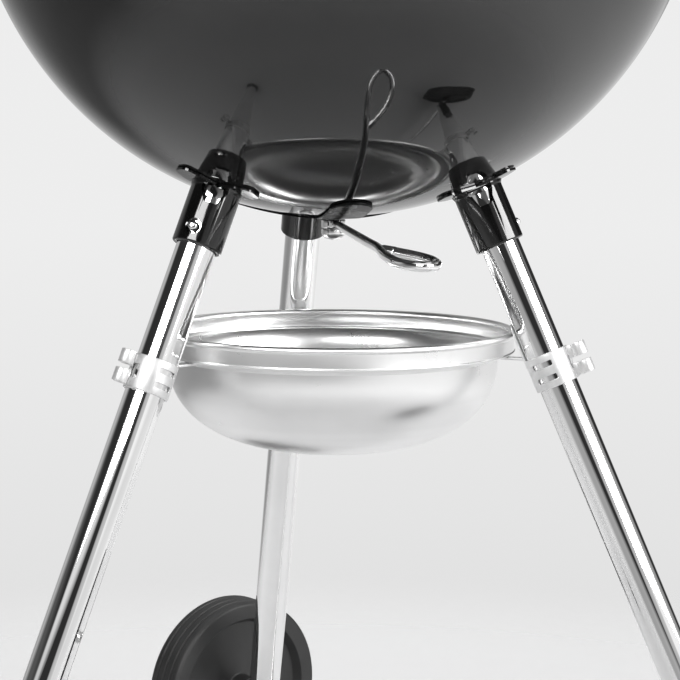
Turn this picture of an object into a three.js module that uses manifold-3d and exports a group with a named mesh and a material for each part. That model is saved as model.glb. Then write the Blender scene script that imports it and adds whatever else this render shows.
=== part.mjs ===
// Kettle charcoal grill on three splayed tube legs, in millimetres, +Z up.
// The front is -Y. The plain leg stands at -X, and the two wheel legs stand at +X to the front and the back.
// Everything is first built about the bowl's vertical axis, and the group is then centred on its own box.
import * as THREE from "three";
import { mergeVertices } from "three/addons/utils/BufferGeometryUtils.js";
import Module from "manifold-3d";

const wasm = await Module();
wasm.setup();

// ---------- driving dimensions ----------
const FIT = 0.4; // gap between neighbouring pieces
const RIM_Z = 680; // top of the bowl's rim above the floor
const BOWL_R = 237; // outer radius of the spherical bowl
const WALL = 2; // bowl and lid wall
const BOWL_DEPTH = 187; // outside, from the rim down to the pole
const POLE_Z = RIM_Z - BOWL_DEPTH;
const BOWL_CENTRE_Z = POLE_Z + BOWL_R;
const RIM_BEAD_R = 4;
const RIM_BEAD_AT = 231.5; // radius of the bead's centre line

const LEG_TILT = THREE.MathUtils.degToRad(24.2);
const TUBE_R = 12.7; // 25.4 mm leg tube
const TUBE_WALL = 1.5;
const SOCKET_R = 16.1;
const SOCKET_WALL = 2.9;
const SOCKET_LENGTH = 41;
const EAR_REACH = 29;
const EAR_WIDTH = 17;
const FLANGE_THICKNESS = 1.3;
const WINDOW_TURN = 50; // degrees from the leg's outward side to one socket window
const WINDOW_WIDTH = 16;
const WINDOW_DEPTH = 14;
const BUTTON_TURN = 30;
const BUTTON_DROP = 31; // along the leg, below the bowl
const BUTTON_R = 2.9;

const PAN_TOP_Z = POLE_Z - 74; // top of the ash pan's rim
const PAN_R = 122;
const PAN_BODY_R = 110.5;
const PAN_RIM_HEIGHT = 14.5;
const PAN_DEPTH = 82;
const PAN_WALL = 1.5;
const CLIP_Z = PAN_TOP_Z - 21.4; // where a clip's middle sits on the leg's axis
const CLIP_HEIGHT = 22;

const WHEEL_R = 76;
const WHEEL_WIDTH = 34;
const AXLE_R = 4.75;
const LEG_PAST_AXLE = 13;

const LID_R = 252; // outer radius of the spherical lid
const LID_INNER_R = LID_R - WALL;
const LID_CENTRE_Z = RIM_Z - 98;
const LID_FLANGE_R = 238.5;
const DAMPER_POLAR = Math.asin(120 / LID_R); // tilt of the lid damper away from the vertical
const DAMPER_R = 36;
const DAMPER_HOLES = 4;
const DAMPER_HOLE_RING = 21;
const DAMPER_HOLE_R = 8.5;

const BLADE_REACH = 78;
const BLADE_HALF_WIDTH = 13.5;
const VANE_REACH = 96;
const VANE_HALF_WIDTH = 15;
const VENT_INNER = 40;
const VENT_OUTER = 62;
const VENT_HALF_WIDTH = 8;
const LEVER_Z = POLE_Z - 5;
const LEVER_WIRE_R = 3;
const LEVER_TURN = 239; // degrees from +X: the lever points between the plain leg and the front wheel leg
const LEVER_DROP = 7.2; // how far the lever's stem runs down to its loop
const LEVER_EYE_R = 8;
const CAP_NUT_R = 8;
const SPINDLE_R = 4;
// The finger loop's two sides: along the lever from the spindle, to its left, and down from the lever's eye.
const LOOP_NEAR_SIDE = [
  [146, 2, LEVER_DROP],
  [170, 0, 9],
  [192, 0.5, 10.6],
  [207, 3.5, 11.4],
  [216, 8, 11.8],
  [218.5, 13.5, 11.9],
  [215, 19, 11.9],
];
const LOOP_FAR_SIDE = [
  [216, 17.8, 11.9],
  [207, 22.5, 11.5],
  [195, 23.5, 10.9],
  [181, 21, 10],
  [167, 15, 8.9],
  [156, 8.5, 7.9],
  [147, 2.5, LEVER_DROP],
];

const COOKING_GRATE_Z = 634.3;
const COOKING_GRATE_R = 208;
const CHARCOAL_GRATE_Z = 571;
const CHARCOAL_GRATE_R = 167;
const GRATE_RING_R = 2.5;
const GRIP_HALF = 34; // half the length of the cooking grate's two grips
const GRIP_HEIGHT = 26;
const GRIP_WIRE_R = 2.2;
const TABS = [30, 150, 270]; // where the tabs under the cooking grate stand, in degrees from +X

const HANDLE_Z = 656; // middle height of the bowl's side handles
const HANDLE_POST_Y = 46;
const LID_HANDLE_HEIGHT = 50;
const LID_SCREW_X = 43;

const BIG_ROUND = 36; // facets round the bowl, lid and pan
const MID_ROUND = 20; // facets round the tubes and sockets
const SMALL_ROUND = 12; // facets round screws, pins and bushes
const BOWL_STEPS = 8; // facets from the bowl's rim to its pole
const LID_STEPS = 8;
const LOBE_STEPS = 5;

const LEGS = [
  { name: "plain", turn: 180, wheel: false },
  { name: "wheel_front", turn: 300, wheel: true },
  { name: "wheel_back", turn: 60, wheel: true },
];

// A leg's centre line leaves the bowl at right angles to its surface.
const FLANGE_Z = BOWL_CENTRE_Z - BOWL_R * Math.cos(LEG_TILT);
const FLANGE_AT = BOWL_R * Math.sin(LEG_TILT);
const legRadiusAt = (z) => FLANGE_AT + (FLANGE_Z - z) * Math.tan(LEG_TILT);
const alongTo = (z) => (FLANGE_Z - z) / Math.cos(LEG_TILT);
const AXLE_X = legRadiusAt(WHEEL_R) * Math.cos(Math.PI / 3);
const AXLE_LEG_Y = legRadiusAt(WHEEL_R) * Math.sin(Math.PI / 3);

// ---------- materials ----------
const finish = {
  enamel: { color: 0x0b0b0c, roughness: 0.12, metalness: 0 },
  blackPaint: { color: 0x101011, roughness: 0.25, metalness: 0.1 },
  brightTube: { color: 0xd9dadb, roughness: 0.14, metalness: 1 },
  chrome: { color: 0xe4e5e6, roughness: 0.08, metalness: 1 },
  aluminium: { color: 0xc4c5c6, roughness: 0.38, metalness: 1 },
  clipMetal: { color: 0xe2e2e0, roughness: 0.35, metalness: 0.6 },
  platedSteel: { color: 0xa9abad, roughness: 0.35, metalness: 1 },
  nylon: { color: 0x151515, roughness: 0.55, metalness: 0 },
  wheelPlastic: { color: 0x1b1b1c, roughness: 0.6, metalness: 0 },
};
const material = (key) => new THREE.MeshStandardMaterial(finish[key]);

// ---------- solids ----------
const degrees = THREE.MathUtils.degToRad;
const inDegrees = THREE.MathUtils.radToDeg;
const vec = (x, y, z) => new THREE.Vector3(x, y, z);
const moved = (geometry, x, y, z) => geometry.clone().translate(x, y, z);
const turned = (geometry, angle) => geometry.clone().rotateZ(degrees(angle));
const arc = (cx, cy, r, from, to, steps) =>
  Array.from({ length: steps + 1 }, (_, i) => {
    const a = degrees(from + ((to - from) * i) / steps);
    return [cx + r * Math.cos(a), cy + r * Math.sin(a)];
  });

function solid(geometry) {
  const bare = geometry.clone();
  for (const key of Object.keys(bare.attributes)) {
    if (key !== "position") bare.deleteAttribute(key);
  }
  const merged = mergeVertices(bare, 1e-4);
  const mesh = new wasm.Mesh({
    numProp: 3,
    vertProperties: merged.attributes.position.array,
    triVerts: new Uint32Array(merged.index.array),
  });
  return new wasm.Manifold(mesh);
}

function geometryOf(manifold) {
  const mesh = manifold.getMesh();
  const geometry = new THREE.BufferGeometry();
  geometry.setAttribute("position", new THREE.BufferAttribute(new Float32Array(mesh.vertProperties), 3));
  geometry.setIndex(new THREE.BufferAttribute(new Uint32Array(mesh.triVerts), 1));
  geometry.computeVertexNormals();
  return geometry;
}

const join = (...parts) => geometryOf(parts.map(solid).reduce((a, b) => a.add(b)));
const cut = (body, ...tools) => geometryOf(tools.map(solid).reduce((a, b) => a.subtract(b), solid(body)));
const overlap = (a, b) => geometryOf(solid(a).intersect(solid(b)));

// A solid of revolution about Z from [radius, z] points that run counter-clockwise round the section.
function turnedSection(points, segments) {
  const closed = points[0][0] < 1e-6 ? points : [...points, points[0]];
  const profile = closed.map(([r, z]) => new THREE.Vector2(r, z));
  return new THREE.LatheGeometry(profile, segments).rotateX(Math.PI / 2);
}

const ring = (inner, outer, low, high, segments = MID_ROUND) =>
  turnedSection([[inner, low], [outer, low], [outer, high], [inner, high]], segments);

const cylinder = (r, low, high, segments = SMALL_ROUND) =>
  new THREE.CylinderGeometry(r, r, high - low, segments)
    .rotateX(Math.PI / 2)
    .translate(0, 0, (low + high) / 2);

function rodBetween(a, b, r, segments = SMALL_ROUND) {
  const along = b.clone().sub(a);
  const turn = new THREE.Quaternion().setFromUnitVectors(vec(0, 0, 1), along.clone().normalize());
  return cylinder(r, 0, along.length(), segments)
    .applyQuaternion(turn)
    .translate(a.x, a.y, a.z);
}

// A round wire along a smooth curve through the points.
function wire(points, r, steps, sides = 8) {
  const section = outline(arc(0, 0, r, 0, 360, sides).slice(0, sides));
  const extrudePath = new THREE.CatmullRomCurve3(points, false, "centripetal");
  return new THREE.ExtrudeGeometry(section, { steps, bevelEnabled: false, extrudePath });
}

function outline(points) {
  return new THREE.Shape(points.map(([x, y]) => new THREE.Vector2(x, y)));
}

// A flat outline in X and Y, raised from low to high.
const plate = (points, low, high) =>
  new THREE.ExtrudeGeometry(outline(points), { depth: high - low, bevelEnabled: false }).translate(0, 0, low);

// An outline in X and Z, as thick as the width, centred on Y = 0.
const sidePlate = (points, width, bevel = { bevelEnabled: false }) =>
  new THREE.ExtrudeGeometry(outline(points), { depth: width, ...bevel })
    .translate(0, 0, -width / 2)
    .rotateX(Math.PI / 2);

// A slot shape with round ends, lying along X from near to far.
const stadium = (near, far, half, steps = 4) => [
  ...arc(far, 0, half, -90, 90, steps),
  ...arc(near, 0, half, 90, 270, steps),
];

// Three copies about Z, 120 degrees apart, the first one turned by the given angle.
const threeTimes = (geometry, turn) => [0, 120, 240].map((more) => turned(geometry, turn + more));

const ball = (r, z) => new THREE.SphereGeometry(r, 96, 48).rotateX(Math.PI / 2).translate(0, 0, z);

// Part of a spherical shell about the bowl's centre line, open at the top, cut to lobes of the given outline.
function lobedShell(outer, inner, holeR, reach, lobe, turn) {
  const low = -0.5 * (outer + inner);
  const past = reach + 6;
  const section = [
    ...arc(0, 0, outer, bowlAngleAtRadius(holeR, outer), bowlAngleAtRadius(past, outer), LOBE_STEPS),
    ...arc(0, 0, inner, bowlAngleAtRadius(past, inner), bowlAngleAtRadius(holeR, inner), LOBE_STEPS),
  ];
  const shell = turnedSection(section, 30);
  const lobes = threeTimes(plate(lobe, low - 20, low + 60), turn);
  return overlap(shell, join(...lobes)).translate(0, 0, BOWL_CENTRE_Z);
}

// ---------- scene graph ----------
const grill = new THREE.Group();
function add(name, geometry, key, parent = grill) {
  const mesh = new THREE.Mesh(geometry, material(key));
  mesh.name = name;
  parent.add(mesh);
  return mesh;
}

// ---------- bowl ----------
const BOWL_INNER_R = BOWL_R - WALL;
const BUSH_HOLE_R = 9;
const bowlAngleAtRadius = (r, R) => inDegrees(Math.asin(r / R)) - 90;
const bowlAngleAtHeight = (z, R) => inDegrees(Math.asin((z - BOWL_CENTRE_Z) / R));

// The bowl's inside surface, moved inwards by the gap, from its rim down to the bush hole.
const bowlInside = (gap) =>
  arc(
    0,
    BOWL_CENTRE_Z,
    BOWL_INNER_R - gap,
    bowlAngleAtHeight(RIM_Z - 6, BOWL_INNER_R),
    bowlAngleAtRadius(BUSH_HOLE_R, BOWL_INNER_R),
    BOWL_STEPS,
  );

function bowl() {
  const low = bowlAngleAtRadius(BUSH_HOLE_R, BOWL_R);
  const high = bowlAngleAtHeight(RIM_Z - 8, BOWL_R);
  const shell = turnedSection(
    [
      ...arc(0, BOWL_CENTRE_Z, BOWL_R, low, high, BOWL_STEPS),
      ...arc(RIM_BEAD_AT, RIM_Z - RIM_BEAD_R, RIM_BEAD_R, -90, 180, 5),
      ...bowlInside(0),
    ],
    BIG_ROUND,
  );
  const vent = plate(stadium(VENT_INNER, VENT_OUTER, VENT_HALF_WIDTH), POLE_Z - 20, POLE_Z + 60);
  const vents = threeTimes(vent, LEVER_TURN);
  const boltHole = cylinder(3.3, 190, 250, 10).rotateY(Math.PI / 2);
  const bolts = [0, 180].flatMap((turn) =>
    [-HANDLE_POST_Y, HANDLE_POST_Y].map((y) => turned(moved(boltHole, 0, y, HANDLE_Z), turn)),
  );
  add("bowl", cut(shell, ...vents, ...bolts), "enamel");
}

// ---------- legs and their sockets ----------
function legSocket() {
  const inner = SOCKET_R - SOCKET_WALL;
  const top = -0.6;
  const sleeve = turnedSection(
    [
      [inner, -SOCKET_LENGTH + 1],
      [inner + 0.8, -SOCKET_LENGTH],
      [SOCKET_R - 1.2, -SOCKET_LENGTH],
      [SOCKET_R, -SOCKET_LENGTH + 1.2],
      [SOCKET_R, top],
      [inner, top],
    ],
    MID_ROUND,
  );
  const flange = ring(inner, SOCKET_R + 1.8, top - FLANGE_THICKNESS, top);
  const earShape = stadium(SOCKET_R - 1, EAR_REACH - EAR_WIDTH / 2, EAR_WIDTH / 2);
  const ear = plate(earShape, top - FLANGE_THICKNESS, top);
  const bore = cylinder(inner, -SOCKET_LENGTH - 5, 5, MID_ROUND);
  const half = WINDOW_WIDTH / 2;
  const right = [[0, -WINDOW_DEPTH], [half - 2.5, -WINDOW_DEPTH + 1.6], [half, -WINDOW_DEPTH + 5], [half, 5]];
  const left = right.slice(1).map(([x, z]) => [-x, z]).reverse();
  const window = sidePlate([...left, ...right], 12)
    .rotateZ(Math.PI / 2)
    .translate(SOCKET_R - 3, 0, 0);
  const windowTool = overlap(window, cylinder(SOCKET_R + 0.6, -20, top - FLANGE_THICKNESS, MID_ROUND));
  const buttonHole = cylinder(BUTTON_R + 1.9, SOCKET_R - 5, SOCKET_R + 3, 12)
    .rotateY(Math.PI / 2)
    .rotateZ(degrees(BUTTON_TURN))
    .translate(0, 0, -BUTTON_DROP);
  const ears = threeTimes(ear, WINDOW_TURN + 60);
  const windows = threeTimes(windowTool, WINDOW_TURN);
  return cut(join(sleeve, flange, ...ears), bore, ...windows, buttonHole);
}

function springButton() {
  const tip = SOCKET_R + 2.3;
  const section = [
    [0, TUBE_R - 4.2],
    [BUTTON_R + 1.5, TUBE_R - 4.2],
    [BUTTON_R + 1.5, TUBE_R - 3.1],
    [BUTTON_R, TUBE_R - 3.1],
    ...arc(0, tip - BUTTON_R, BUTTON_R, 0, 90, 3).map(([r, z]) => [Math.max(r, 0), z]),
  ];
  section[section.length - 1][0] = 0;
  return turnedSection(section, 12).rotateY(Math.PI / 2);
}

function panClip(frame) {
  const inner = TUBE_R + FIT;
  const outer = inner + 1.6;
  const half = CLIP_HEIGHT / 2;
  const band = ring(inner, outer, -half, half);
  const sideSlot = new THREE.BoxGeometry(9, 40, 3.6);
  const outWindow = new THREE.BoxGeometry(12, 8.5, 9).translate(outer, 0, 0);
  const slots = [-4.6, 4.6].map((z) => moved(sideSlot, 0, 0, z));
  const lobe = new THREE.ExtrudeGeometry(
    outline([
      ...arc(outer + 10, 0, 4.2, -140, 140, 5),
      ...arc(outer + 10, 0, 2.6, 140, -140, 5),
    ]),
    { depth: 5, bevelEnabled: false },
  ).translate(0, 0, -2.5);
  const stalk = new THREE.BoxGeometry(9.4, 1.6, 5).translate(outer + 3, -2.3, 0);
  const lobes = [-7.2, 7.2].flatMap((z) => [moved(lobe, 0, 0, z), moved(stalk, 0, 0, z)]);
  const tongue = new THREE.BoxGeometry(1.3, 8.6, 27).translate(-inner - 0.65, 0, half + 12);
  const recess = cylinder(2, -6, 6, 12).scale(2.2, 1, 1).rotateY(Math.PI / 2).translate(-inner, 0, half + 10);
  const strip = cut(tongue, recess);
  const tilted = cut(join(band, strip, ...lobes), ...slots, outWindow).applyMatrix4(frame);
  const tabTop = PAN_TOP_Z - PAN_RIM_HEIGHT - FIT;
  const tabStart = PAN_BODY_R + 2;
  const tabEnd = legRadiusAt(tabTop) - (inner + 1) / Math.cos(LEG_TILT);
  const tab = plate([[tabStart, -4], [tabEnd, -4], [tabEnd, 4], [tabStart, 4]], tabTop - 1.6, tabTop);
  return join(tilted, tab);
}

function legTube(leg, toLeg) {
  const end = leg.wheel ? alongTo(WHEEL_R) + LEG_PAST_AXLE : alongTo(0) - 9.5;
  const tube = ring(TUBE_R - TUBE_WALL, TUBE_R, -end, -2.5);
  const buttonHole = cylinder(BUTTON_R + 0.5, 5, 20, 10)
    .rotateY(Math.PI / 2)
    .rotateZ(degrees(BUTTON_TURN))
    .translate(0, 0, -BUTTON_DROP);
  const tools = [buttonHole];
  if (leg.wheel) {
    const axleHole = rodBetween(vec(AXLE_X, -400, WHEEL_R), vec(AXLE_X, 400, WHEEL_R), AXLE_R + 0.45);
    tools.push(axleHole.applyMatrix4(toLeg));
  }
  return cut(tube, ...tools);
}

function footCap(toLeg) {
  const reach = alongTo(0);
  const body = turnedSection(
    [
      [0, -reach - 12],
      [17.5, -reach - 12],
      [17.5, -reach + 8],
      [16.2, -reach + 34],
      [15.2, -reach + 35],
      [TUBE_R + FIT, -reach + 35],
      [TUBE_R + FIT, -reach + 9],
      [0, -reach + 9],
    ],
    MID_ROUND,
  );
  const floor = new THREE.BoxGeometry(900, 900, 100).translate(0, 0, -50).applyMatrix4(toLeg);
  return cut(body, floor);
}

function legs() {
  const clipFrame = new THREE.Matrix4().makeRotationY(-LEG_TILT);
  const clip = panClip(clipFrame.setPosition(legRadiusAt(CLIP_Z), 0, CLIP_Z));
  const socket = legSocket();
  const button = springButton();
  for (const leg of LEGS) {
    const upright = new THREE.Group(); // +X points out over this leg
    upright.rotation.z = degrees(leg.turn);
    const tilted = new THREE.Group(); // +Z runs up the leg, from the point where it meets the bowl
    tilted.position.set(FLANGE_AT, 0, FLANGE_Z);
    tilted.rotation.y = -LEG_TILT;
    upright.add(tilted);
    grill.add(upright);
    grill.updateMatrixWorld(true);
    const toLeg = tilted.matrixWorld.clone().invert();
    add("leg_" + leg.name, legTube(leg, toLeg), "brightTube", tilted);
    add("leg_socket_" + leg.name, socket.clone(), "blackPaint", tilted);
    add("pan_clip_" + leg.name, clip.clone(), "clipMetal", upright);
    const pin = add("spring_button_" + leg.name, button.clone(), "chrome", tilted);
    pin.rotation.z = degrees(BUTTON_TURN);
    pin.position.z = -BUTTON_DROP;
    if (!leg.wheel) add("foot_cap", footCap(toLeg), "nylon", tilted);
  }
}

// ---------- axle and wheels ----------
function wheel() {
  const bore = AXLE_R + 0.45;
  const half = WHEEL_WIDTH / 2;
  return turnedSection(
    [
      [bore, -half - 5],
      [12, -half - 5],
      [13, -half + 8],
      [58, -half + 8],
      [62, -half],
      [WHEEL_R - 3, -half],
      [WHEEL_R, -half + 3],
      [WHEEL_R, half - 3],
      [WHEEL_R - 3, half],
      [64, half],
      [60, half - 9],
      [20, half - 9],
      [16, half],
      [bore, half],
    ],
    24,
  );
}

function wheels() {
  const inside = AXLE_LEG_Y + 24; // plane of the wheel's inner face
  const middle = inside + WHEEL_WIDTH / 2;
  const outside = inside + WHEEL_WIDTH;
  const bore = AXLE_R + 0.3;
  const cap = turnedSection(
    [
      [0, 5.5],
      [bore, 5.5],
      [bore, 0],
      [11.5, 0],
      [11.5, 2],
      [9, 5.2],
      [5, 7],
      [0, 7.6],
    ],
    SMALL_ROUND,
  );
  const shape = wheel();
  for (const [name, side] of [["front", -1], ["back", 1]]) {
    const spot = new THREE.Group(); // +Z points outwards along the axle
    spot.position.set(AXLE_X, 0, WHEEL_R);
    spot.rotation.x = side > 0 ? -Math.PI / 2 : Math.PI / 2;
    grill.add(spot);
    add("wheel_" + name, shape.clone(), "wheelPlastic", spot).position.z = middle;
    add("hub_cap_" + name, cap.clone(), "chrome", spot).position.z = outside + FIT;
  }
  const end = outside + FIT + 5;
  add("axle", rodBetween(vec(AXLE_X, -end, WHEEL_R), vec(AXLE_X, end, WHEEL_R), AXLE_R), "platedSteel");
}

// ---------- ash pan ----------
function ashPan() {
  const bottom = (r, depth, step) => {
    const power = 2.5;
    const drop = depth - PAN_RIM_HEIGHT;
    return Array.from({ length: step + 1 }, (_, i) => {
      const a = (i / step) * (Math.PI / 2);
      const across = Math.sin(a) ** (2 / power);
      const down = Math.cos(a) ** (2 / power);
      return [i === 0 ? 0 : r * across, -PAN_RIM_HEIGHT - drop * down];
    });
  };
  const outside = bottom(PAN_BODY_R, PAN_DEPTH, 6);
  const inside = bottom(PAN_BODY_R - PAN_WALL, PAN_DEPTH - PAN_WALL, 5).reverse();
  inside[0][1] += PAN_WALL;
  const section = [
    ...outside,
    [PAN_R - 0.8, -PAN_RIM_HEIGHT],
    [PAN_R, -PAN_RIM_HEIGHT + 1],
    [PAN_R, -PAN_RIM_HEIGHT + 2.2],
    [PAN_R - 0.9, -PAN_RIM_HEIGHT + 3],
    [PAN_R - 0.9, -4.4],
    ...arc(PAN_R - 2.4, -2.4, 2.4, -40, 190, 3),
    [PAN_R - 2.6, -PAN_RIM_HEIGHT + PAN_WALL],
    ...inside,
  ];
  add("ash_pan", turnedSection(section, BIG_ROUND).translate(0, 0, PAN_TOP_Z), "aluminium");
}

// ---------- bottom damper, lever and ash sweeper ----------
function damper() {
  const hole = SPINDLE_R + 0.4;
  const blade = stadium(0, BLADE_REACH - BLADE_HALF_WIDTH, BLADE_HALF_WIDTH);
  const vane = stadium(0, VANE_REACH - VANE_HALF_WIDTH, VANE_HALF_WIDTH);
  const blades = lobedShell(BOWL_R + 1.8, BOWL_R + 0.8, hole, BLADE_REACH, blade, LEVER_TURN);
  const vanes = lobedShell(BOWL_INNER_R - 1.3, BOWL_INNER_R - 2.9, hole, VANE_REACH, vane, LEVER_TURN);
  add("damper_blades", blades, "blackPaint");
  add("ash_sweeper", vanes, "platedSteel");
  add("spindle", cylinder(SPINDLE_R, POLE_Z - 13, POLE_Z + 15), "platedSteel");
  add("spindle_bush", ring(hole, BUSH_HOLE_R - FIT, POLE_Z - 0.2, POLE_Z + 2.7, SMALL_ROUND), "platedSteel");
  const hex = cylinder(7.5, POLE_Z + 5.5, POLE_Z + 11.3, 6);
  add("sweeper_nut", cut(hex, cylinder(hole, POLE_Z, POLE_Z + 20)), "platedSteel");
  const domeDrop = 5;
  const capSide = 2.5;
  const capTop = LEVER_Z - 3.4;
  const cap = turnedSection(
    [
      [0, capTop - capSide - domeDrop],
      ...arc(0, 0, 1, -90, 0, 4).slice(1).map(([r, z]) => [r * CAP_NUT_R, capTop - capSide + z * domeDrop]),
      [CAP_NUT_R, capTop],
      [SPINDLE_R + 0.35, capTop],
      [SPINDLE_R + 0.35, POLE_Z - 13.4],
      [0, POLE_Z - 13.4],
    ],
    20,
  );
  add("cap_nut", cap, "chrome");

  const eye = ring(hole, LEVER_EYE_R, LEVER_Z - 2.8, LEVER_Z + 2.8, 20);
  const stem = rodBetween(vec(6, 0.2, LEVER_Z), vec(150, 2, LEVER_Z - LEVER_DROP), LEVER_WIRE_R, 8);
  const point = ([x, y, drop]) => vec(x, y, LEVER_Z - drop);
  const loop = [LOOP_NEAR_SIDE, LOOP_FAR_SIDE].map((side) => wire(side.map(point), LEVER_WIRE_R, 10, 8));
  const joint = new THREE.SphereGeometry(LEVER_WIRE_R, 8, 6).translate(215.5, 18.5, LEVER_Z - 11.9);
  const lever = cut(join(eye, stem, ...loop, joint), cylinder(hole, POLE_Z - 20, POLE_Z, 20));
  add("damper_lever", turned(lever, LEVER_TURN), "chrome");
}

// ---------- grates ----------
// Bars lie across the top half of the ring and two crossbars under them across its bottom half.
function grate(name, z, ringR, barR, pitch, crossbarY) {
  const torus = new THREE.TorusGeometry(ringR, GRATE_RING_R, 5, BIG_ROUND);
  const count = Math.floor((ringR - 8) / pitch);
  const height = barR + FIT / 2;
  const bars = [];
  for (let i = -count; i <= count; i += 1) {
    const x = i * pitch;
    const end = Math.sqrt(ringR * ringR - x * x) - 1;
    bars.push(rodBetween(vec(x, -end, height), vec(x, end, height), barR, 4));
  }
  for (const y of [-crossbarY, crossbarY]) {
    const end = Math.sqrt(ringR * ringR - y * y) - 2;
    bars.push(rodBetween(vec(-end, y, -height), vec(end, y, -height), barR, 4));
  }
  add(name, join(torus, ...bars).translate(0, 0, z), "platedSteel");
}

function grates() {
  grate("cooking_grate", COOKING_GRATE_Z, COOKING_GRATE_R, 2.2, 20, 90);
  const gripX = Math.sqrt(COOKING_GRATE_R ** 2 - GRIP_HALF ** 2);
  for (const [name, side] of [["right", 1], ["left", -1]]) {
    const foot = (y) => vec(side * gripX, y, GRATE_RING_R + FIT + 0.2);
    const top = (y) => vec(side * (gripX - 2), y, GRIP_HEIGHT);
    const wires = [
      rodBetween(foot(-GRIP_HALF), top(-GRIP_HALF), GRIP_WIRE_R, 5),
      rodBetween(foot(GRIP_HALF), top(GRIP_HALF), GRIP_WIRE_R, 5),
      rodBetween(top(-GRIP_HALF - 2), top(GRIP_HALF + 2), GRIP_WIRE_R + 0.2, 5),
    ];
    add("grate_grip_" + name, moved(join(...wires), 0, 0, COOKING_GRATE_Z), "platedSteel");
  }
  grate("charcoal_grate", CHARCOAL_GRATE_Z, CHARCOAL_GRATE_R, 2.6, 28, 75);
  const wallAt = (z) => Math.sqrt(BOWL_INNER_R ** 2 - (BOWL_CENTRE_Z - z) ** 2);
  const shelf = COOKING_GRATE_Z - GRATE_RING_R - FIT;
  const low = shelf - 2;
  const high = shelf + 14;
  const near = 200;
  const section = [
    [near, low],
    [BOWL_R, low],
    [BOWL_R, high],
    [wallAt(high) - 3, high],
    [wallAt(shelf) - 3, shelf],
    [near, shelf],
  ];
  const bracket = sidePlate(section, 16);
  const middle = [[0, RIM_Z - 6], [0, POLE_Z + WALL + 0.5]];
  const cavity = turnedSection([...bowlInside(FIT).reverse(), ...middle], BIG_ROUND);
  TABS.forEach((turn, i) => add("grate_tab_" + (i + 1), overlap(turned(bracket, turn), cavity), "enamel"));
}

// ---------- side handles ----------
const GRIP_BEVEL = { bevelThickness: 3, bevelSize: 3, bevelOffset: -3, bevelSegments: 2 };

function sideHandle() {
  const half = 63;
  const reach = 279;
  const grip = outline([
    [205, -half],
    ...arc(reach - 16, -half + 16, 16, -90, 0, 4),
    ...arc(reach - 16, half - 16, 16, 0, 90, 4),
    [205, half],
  ]);
  const gap = [
    [200, -half + 26],
    ...arc(reach - 31, -half + 36, 10, -90, 0, 3),
    ...arc(reach - 31, half - 36, 10, 0, 90, 3),
    [200, half - 26],
  ];
  const block = new THREE.ExtrudeGeometry(grip, { depth: 16, ...GRIP_BEVEL }).translate(0, 0, HANDLE_Z - 8);
  const holes = [-HANDLE_POST_Y, HANDLE_POST_Y].map((y) =>
    cylinder(3.1, 200, 252, 10).rotateY(Math.PI / 2).translate(0, y, HANDLE_Z),
  );
  return cut(block, plate(gap, HANDLE_Z - 30, HANDLE_Z + 30), ball(BOWL_R + 0.5, BOWL_CENTRE_Z), ...holes);
}

function sideHandles() {
  const handle = sideHandle();
  const screw = turnedSection(
    [
      [0, 206],
      [3, 206.6],
      [5.2, 208.6],
      [6, 212],
      [6, 212.9],
      [2.7, 212.9],
      [2.7, 250],
      [0, 250],
    ],
    10,
  ).rotateY(Math.PI / 2);
  for (const [name, turn] of [["right", 0], ["left", 180]]) {
    add("bowl_handle_" + name, turned(handle, turn), "nylon");
    [-HANDLE_POST_Y, HANDLE_POST_Y].forEach((y, i) => {
      const place = turned(moved(screw, 0, y, HANDLE_Z), turn);
      add("handle_screw_" + name + "_" + (i + 1), place, "platedSteel");
    });
  }
}

// ---------- lid ----------
const damperFrame = new THREE.Matrix4().makeRotationX(-DAMPER_POLAR).setPosition(0, 0, LID_CENTRE_Z);

function damperHoles(r, turn) {
  return Array.from({ length: DAMPER_HOLES }, (_, i) => {
    const a = degrees(turn + (i * 360) / DAMPER_HOLES);
    const x = DAMPER_HOLE_RING * Math.cos(a);
    const y = DAMPER_HOLE_RING * Math.sin(a);
    return moved(cylinder(r, LID_R - 30, LID_R + 30, 8), x, y, 0);
  });
}

const LID_SEAT_Z = RIM_Z + 0.5;
const lidAngleAtHeight = (z, R) => inDegrees(Math.asin((z - LID_CENTRE_Z) / R));
const LID_INNER_EDGE = lidAngleAtHeight(LID_SEAT_Z + 2.5, LID_INNER_R);
const lidInside = (gap) => arc(0, LID_CENTRE_Z, LID_INNER_R - gap, 90, LID_INNER_EDGE, LID_STEPS).slice(1);

function lid() {
  const seat = LID_SEAT_Z;
  const bottom = seat - 5;
  const dome = turnedSection(
    [
      [0, LID_CENTRE_Z + LID_INNER_R],
      ...lidInside(0),
      [227.6, seat],
      [LID_FLANGE_R - 2, seat],
      [LID_FLANGE_R - 2, bottom],
      [LID_FLANGE_R - 0.5, bottom],
      [LID_FLANGE_R, bottom + 0.8],
      [LID_FLANGE_R, seat + 1.4],
      [LID_FLANGE_R - 1.2, seat + 2.6],
      ...arc(0, LID_CENTRE_Z, LID_R, lidAngleAtHeight(seat + 4, LID_R), 90, LID_STEPS).slice(0, -1),
      [0, LID_CENTRE_Z + LID_R],
    ],
    BIG_ROUND,
  );
  const screwHole = cylinder(3, LID_CENTRE_Z + 200, LID_CENTRE_Z + 270, 10);
  const screwHoles = [-LID_SCREW_X, LID_SCREW_X].map((x) => moved(screwHole, x, 0, 0));
  const rivetHole = cylinder(3.3, LID_R - 30, LID_R + 30);
  const vents = [...damperHoles(DAMPER_HOLE_R - 0.5, 45), rivetHole];
  vents.forEach((tool) => tool.applyMatrix4(damperFrame));
  add("lid", cut(dome, ...screwHoles, ...vents), "enamel");
}

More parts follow.
